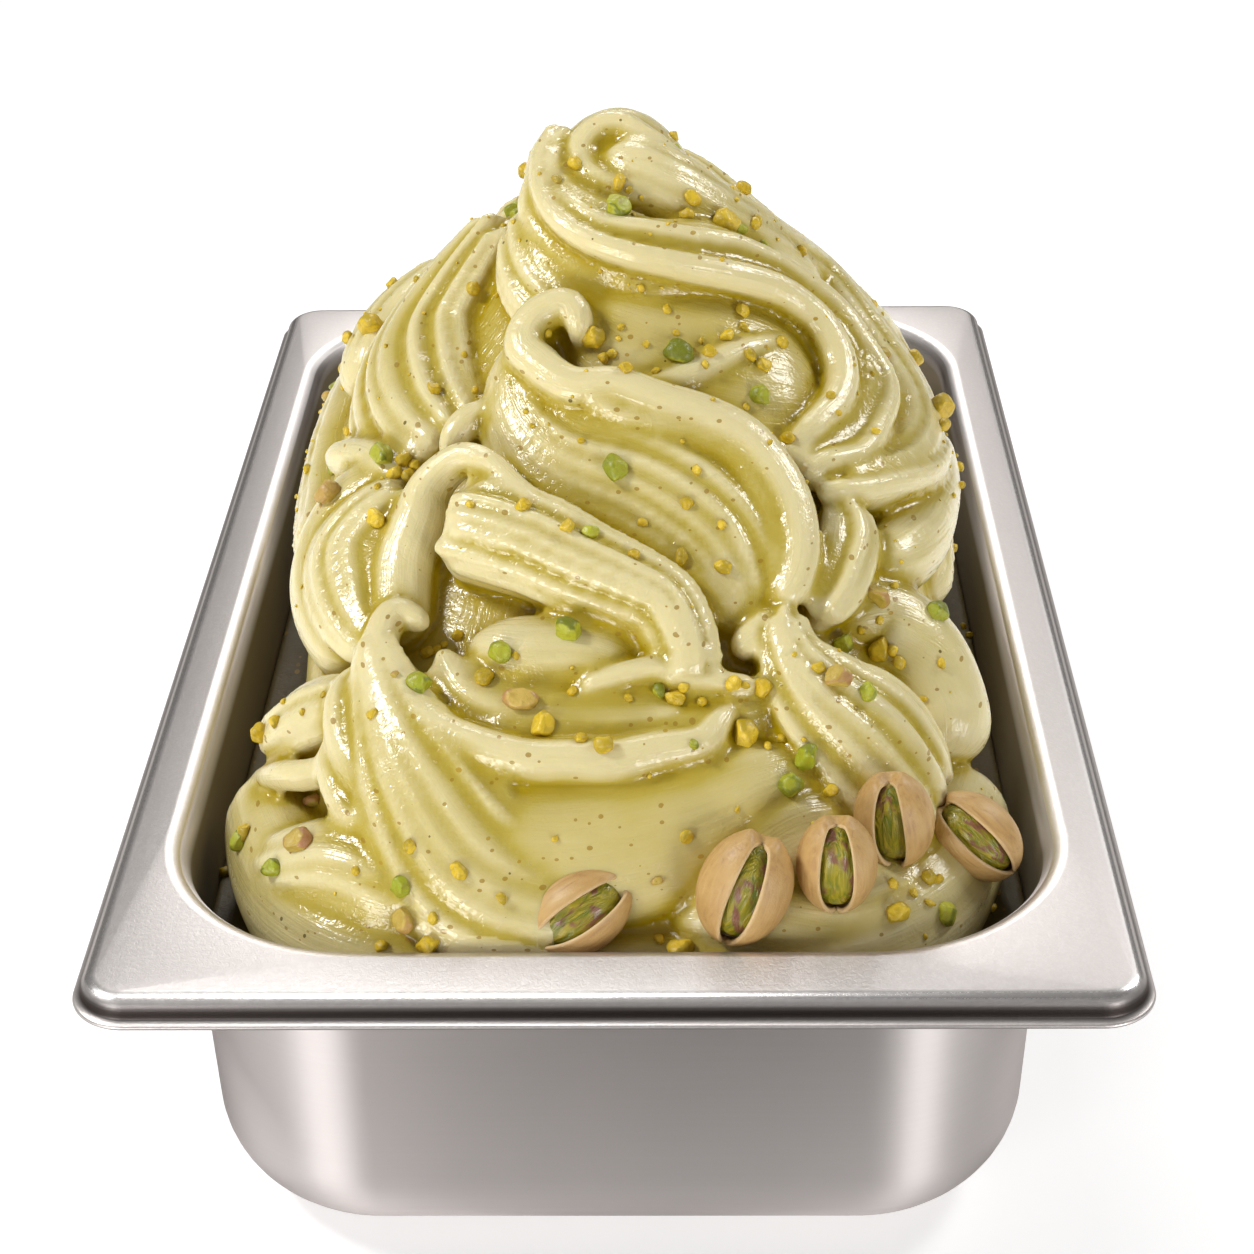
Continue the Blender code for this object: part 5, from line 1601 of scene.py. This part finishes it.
@dataclass
class ChoppedNuts:
    """The chopped pistachio strewn over the gelato, one piece of mesh for each sort."""

    view: View
    mound: Mound
    gelato: bpy.types.Mesh
    seed: int = 11
    hidden_chips: int = 90
    hidden_sizes: Point = (1.4, 2.6, 4.6)
    crumbs: int = 260
    crumb_sizes: tuple[float, float] = (0.35, 1.1)
    strewn_heights: tuple[float, float] = (58, 148)
    clear_of_wall: tuple[float, float] = (63, 115)
    sharp_angle: float = 55.0

    def __post_init__(self) -> None:
        """Make the lookup of the gelato's surface, and start the row of random numbers."""
        self.tree = BVHTree.FromPolygons(
            points_of(self.gelato).tolist(), [tuple(face.vertices) for face in self.gelato.polygons]
        )
        self.rng = np.random.default_rng(self.seed)

    def seen(self, chip: Chip) -> tuple[Vector, Vector, float] | None:
        """Where a chip of the photograph lies on the gelato, which way is out, and its size."""
        eye, ray = Vector(self.view.eye), self.view.ray(chip.x, chip.y)
        hit, normal, _, distance = self.tree.ray_cast(eye, ray)
        if hit is None:
            return None
        focal = self.view.lens / self.view.sensor * self.view.frame_size
        return hit, normal, chip.size * distance / focal

    def strewn(
        self, low: float, high: float, smallest: float, largest: float
    ) -> tuple[Vector, Vector, float] | None:
        """A random place on the mound between two angles, which way is out, and a size."""
        angle = np.array([math.radians(self.rng.uniform(low, high))])
        height = np.array([self.rng.uniform(*self.strewn_heights)])
        size = self.rng.uniform(smallest, largest)
        out = Vector(self.mound.normal(angle, height)[0])
        start = Vector(self.mound.point(angle, height)[0]) + out * 30
        hit, normal, _, _ = self.tree.ray_cast(start, -out)
        if hit is None or abs(hit.x) > self.clear_of_wall[0] or abs(hit.y) > self.clear_of_wall[1]:
            return None
        return hit, normal, size

    def chip_shape(self, size: float, rough: int) -> tuple[np.ndarray, Faces, np.ndarray]:
        """A chip: a nut-like lump with flat faces chopped off it.

        Args:
            size: its width in millimetres.
            rough: how finely it is meshed.

        Returns:
            Its points about its own centre, its faces, and one at each point that keeps the nut's outside.
        """
        shape = bmesh.new()
        bmesh.ops.create_icosphere(shape, subdivisions=rough, radius=1.0)
        points = np.array([vert.co for vert in shape.verts])
        faces = [tuple(vert.index for vert in face.verts) for face in shape.faces]
        shape.free()
        rind = np.ones(len(points))
        for _ in range(int(self.rng.integers(6, 10))):
            direction = unit(self.rng.normal(size=3))
            reach = self.rng.uniform(0.60, 0.90)
            beyond = points @ direction - reach
            cut = beyond > 0
            points[cut] -= np.outer(beyond[cut], direction)
            rind[cut] = 0.0
        points += 0.05 * np.sin(points[:, [1, 2, 0]] * 6.0 + self.rng.uniform(0, 6, 3))
        sides = ((0.95, 1.2), (0.8, 1.0), (0.7, 0.92))
        stretch = np.array([self.rng.uniform(low, high) for low, high in sides])
        return points * stretch * size * 0.58, faces, rind

    def gathered(self, places: Sequence[tuple[Vector, Vector, float]], name: str) -> bpy.types.Mesh:
        """One mesh of chips that sit a little sunk at their places."""
        points, faces, shades, rinds, first = [], [], [], [], 0
        for place, normal, size in places:
            shape, chip_faces, rind = self.chip_shape(size, 3 if size > 2.2 else 2 if size > 1.1 else 1)
            upright = normal.to_track_quat("Z", "Y").to_matrix()
            spin = Matrix.Rotation(self.rng.uniform(0, 6.28), 3, "Z")
            tilt = Matrix.Rotation(self.rng.uniform(-0.5, 0.5), 3, "X")
            turned = shape @ np.array(upright @ spin @ tilt).T
            points.append(turned + np.array(place + normal * size * 0.16))
            faces += [tuple(first + i for i in face) for face in chip_faces]
            first += len(shape)
            shades.append(np.full(len(shape), self.rng.uniform(0, 1)))
            rinds.append(rind * self.rng.uniform(0.5, 1.0))
        mesh = mesh_from(name, np.vstack(points), faces)
        mesh.set_sharp_from_angle(angle=math.radians(self.sharp_angle))
        store(mesh, "shade", np.concatenate(shades))
        store(mesh, "rind", np.concatenate(rinds))
        return mesh

    def build(self) -> list[bpy.types.Object]:
        """Build and dress the chips and crumbs.

        Returns:
            One piece for each sort of chip.
        """
        places = {kind: [self.seen(Chip(*row)) for row in CHIPS[kind]] for kind in ChipKind}
        kinds = (ChipKind.YELLOW, ChipKind.YELLOW, ChipKind.YELLOW, ChipKind.GREEN, ChipKind.SKINNED)
        smallest, usual, largest = self.hidden_sizes
        for number in range(self.hidden_chips):
            size = largest if number % 3 == 0 else usual
            places[kinds[number % 5]].append(self.strewn(60, 300, smallest, size))
        for _ in range(self.crumbs):
            places[ChipKind.YELLOW].append(self.strewn(-180, 180, *self.crumb_sizes))
        pieces = []
        for kind in ChipKind:
            found = [place for place in places[kind] if place is not None]
            mesh = self.gathered(found, kind.value.name)
            pieces.append(add_piece(kind.value.name, mesh, kind.value.make()))
        return pieces


# Pistachios in the shell


@dataclass(frozen=True)
class WholeNut:
    """A pistachio in its split shell: its centre, long axis, the way its slit faces, half the slit."""

    centre: Point
    axis: Point
    facing: Point
    scale: float
    slit: float
    half: Point = (7.0, 6.5, 9.3)
    wall: float = 0.9
    kernel_half: Point = (5.6, 5.0, 7.7)
    rows: int = 44
    columns: int = 72

    def placed(self, points: np.ndarray) -> np.ndarray:
        """Points in the nut's own axes, moved to its place: Z along it, Y out of its slit."""
        along = Vector(self.axis).normalized()
        facing = Vector(self.facing)
        facing = (facing - along * facing.dot(along)).normalized()
        turn = np.array(Matrix((facing.cross(along), facing, along)).transposed())
        return (points * self.scale) @ turn.T + np.array(self.centre)

    def wall_grid(self, half: np.ndarray) -> np.ndarray:
        """One wall of the shell, from one lip of the slit round the back to the other."""
        polar = np.linspace(0.02, math.pi - 0.02, self.rows)[:, None]
        reach = np.sin(polar)
        slit = self.slit * np.where(polar > math.pi / 2, reach**0.7, reach**1.3)
        start = np.arcsin(np.clip(slit / (half[0] * reach), 0, 0.9))
        share = np.linspace(0, 1, self.columns)[None, :]
        turn = start + (2 * math.pi - 2 * start) * share
        x = half[0] * reach * np.sin(turn)
        y = half[1] * reach * np.cos(turn)
        z = -half[2] * np.cos(polar) * np.ones_like(turn)
        notch = 1.4 * np.exp(-((x / 1.3) ** 2)) - 0.45 * np.exp(-(((np.abs(x) - 2.5) / 1.1) ** 2))
        return np.stack([x, y, z - notch * np.clip(z / half[2] * 5 - 4, 0, 1)], -1)

    def shell(self, number: int, finish: bpy.types.Material) -> bpy.types.Object:
        """Build and dress the split shell."""
        outer = self.wall_grid(np.array(self.half))
        inner = self.wall_grid(np.array(self.half) - self.wall)
        middle = (outer + inner) / 2
        proud = 0.18 * unit(np.gradient(middle, axis=1))
        near_lip = (middle[:, :1] - proud[:, :1], middle[:, -1:] + proud[:, -1:])
        loop = np.concatenate([outer, near_lip[1], inner[:, ::-1], near_lip[0]], axis=1)
        rows, columns = loop.shape[:2]
        local = loop.reshape(-1, 3)
        mesh = mesh_from(f"nut_shell_{number}", self.placed(local), ring_faces(rows, columns))
        lip = np.zeros(columns)
        lip[[0, self.columns - 1, self.columns, self.columns + 1, -2, -1]] = (0.7, 0.7, 1.0, 0.7, 0.7, 1.0)
        inside = np.zeros(columns)
        inside[self.columns + 1:-1] = 1.0
        store(mesh, "lip", np.tile(lip, rows))
        store(mesh, "inside", np.tile(inside, rows))
        store(mesh, "grain", local + 31.0 * number)
        piece = add_piece(f"nut_shell_{number}", mesh, finish)
        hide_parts(f"pistachio_shell_{number}")
        return piece

    def kernel(self, number: int, finish: bpy.types.Material) -> bpy.types.Object:
        """Build and dress the kernel."""
        polar = np.linspace(0.03, math.pi - 0.03, self.rows)[:, None]
        turn = np.linspace(0, 2 * math.pi, self.columns, endpoint=False)[None, :]
        wave = 1 + 0.018 * np.sin(7 * turn + 2.5 * np.sin(polar * 2 + number)) * np.sin(polar)
        wave = wave + 0.012 * np.sin(13 * turn + 4 * polar + number)
        x = self.kernel_half[0] * np.sin(polar) * np.sin(turn) * wave
        y = self.kernel_half[1] * np.sin(polar) * np.cos(turn) * wave
        z = -self.kernel_half[2] * np.cos(polar) * np.ones_like(turn)
        local = np.stack([x, y, z], -1).reshape(-1, 3)
        mesh = mesh_from(f"nut_kernel_{number}", self.placed(local), ring_faces(self.rows, self.columns))
        store(mesh, "grain", local + 53.0 * number)
        piece = add_piece(f"nut_kernel_{number}", mesh, finish)
        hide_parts(f"pistachio_kernel_{number}")
        return piece


NUTS = (
    WholeNut((-5.2, -113.4, 66.0), (0.83, 0.28, 0.48), (0.1, -0.87, 0.5), 0.94, 2.7),
    WholeNut((19.9, -114.6, 71.2), (0.32, 0.10, 0.94), (-0.1, -0.95, 0.2), 1.02, 2.2),
    WholeNut((33.8, -111.6, 73.5), (-0.02, 0.02, 1.0), (-0.05, -1.0, 0.0), 0.88, 3.0),
    WholeNut((43.2, -101.0, 74.4), (-0.14, -0.04, 0.99), (-0.2, -0.98, 0.0), 0.89, 2.7),
    WholeNut((57.0, -94.0, 66.4), (-0.72, 0.35, 0.60), (-0.1, -0.87, 0.5), 0.88, 2.5),
)


# Studio


@dataclass(frozen=True)
class Softbox:
    """A soft light: its place, width and height in metres, its power, and the one piece it lights, if one."""

    place: Point
    width: float
    height: float
    power: float
    only: str = ""


@dataclass
class Studio:
    """The pale table, the soft lights and the surrounding white."""

    softboxes: tuple[Softbox, ...] = (
        Softbox((-0.50, -0.08, 0.64), 0.14, 0.14, 3.5),
        Softbox((0.52, 0.22, 0.56), 0.20, 0.20, 2.1),
        Softbox((-0.04, 0.80, 0.72), 0.30, 0.44, 2.5),
        Softbox((-0.38, -0.63, 0.12), 0.26, 0.22, 2.0),
        Softbox((0.44, -0.62, 0.12), 0.20, 0.22, 1.6),
        Softbox((-0.09, -0.10, 0.58), 0.14, 0.16, 1.5, "pan_sheet"),
        Softbox((0.18, 0.92, 0.62), 1.0, 0.3, 1.5, "pan_sheet"),
    )
    surround: float = 0.20
    surround_tint: Colour = (1.0, 0.99, 0.97)
    aim: Point = (0, 0, 0.08)

    @staticmethod
    def sheet(
        name: str, low: tuple[int, int], high: tuple[int, int], z: float, finish: bpy.types.Material
    ) -> None:
        """Lay a flat rectangle of the studio, sizes in millimetres."""
        corners = [(low[0], low[1], z), (high[0], low[1], z), (high[0], high[1], z), (low[0], high[1], z)]
        mesh = mesh_from(name, np.array(corners), [(0, 1, 2, 3)])
        mesh.materials.append(finish)
        laid = bpy.data.objects.new(name, mesh)
        bpy.context.scene.collection.objects.link(laid)

    def build(self) -> None:
        """Lay the table and the card and hang the lights."""
        self.sheet("table", (-3000, -3000), (3000, 3000), 0.0, PaleTable().make())
        self.sheet("card", (-95, -620), (95, -160), 1.0, DarkCard().make())
        world = bpy.data.worlds.new("studio")
        world.use_nodes = True
        background = world.node_tree.nodes["Background"]
        background.inputs["Color"].default_value = (*self.surround_tint, 1.0)
        background.inputs["Strength"].default_value = self.surround
        bpy.context.scene.world = world
        for number, box in enumerate(self.softboxes, 1):
            data = bpy.data.lights.new(f"softbox_{number}", "AREA")
            data.shape = "RECTANGLE"
            data.size = box.width
            data.size_y = box.height
            data.energy = box.power
            light = bpy.data.objects.new(f"softbox_{number}", data)
            light.location = box.place
            light.rotation_mode = "QUATERNION"
            away = Vector(box.place) - Vector(self.aim)
            light.rotation_quaternion = away.to_track_quat("Z", "Y")
            bpy.context.scene.collection.objects.link(light)
            if box.only:
                lit = bpy.data.collections.new(f"lit_{number}")
                lit.objects.link(bpy.data.objects[box.only])
                light.light_linking.receiver_collection = lit


def main() -> None:
    """Build the pan, the gelato and its nuts, and the studio round them."""
    logging.basicConfig(level=logging.INFO, format="%(message)s")
    bpy.context.scene.view_settings.view_transform = "Standard"
    view = View()
    view.build()
    pan = Pan()
    pan.build()
    mound = Mound()
    gelato = Gelato(pan, mound).build()
    ChoppedNuts(view, mound, gelato.data).build()
    shell_finish, kernel_finish = NutShell().make(), NutKernel().make()
    for number, nut in enumerate(NUTS, 1):
        nut.shell(number, shell_finish)
        nut.kernel(number, kernel_finish)
    Studio().build()


if __name__ == "__main__":
    main()
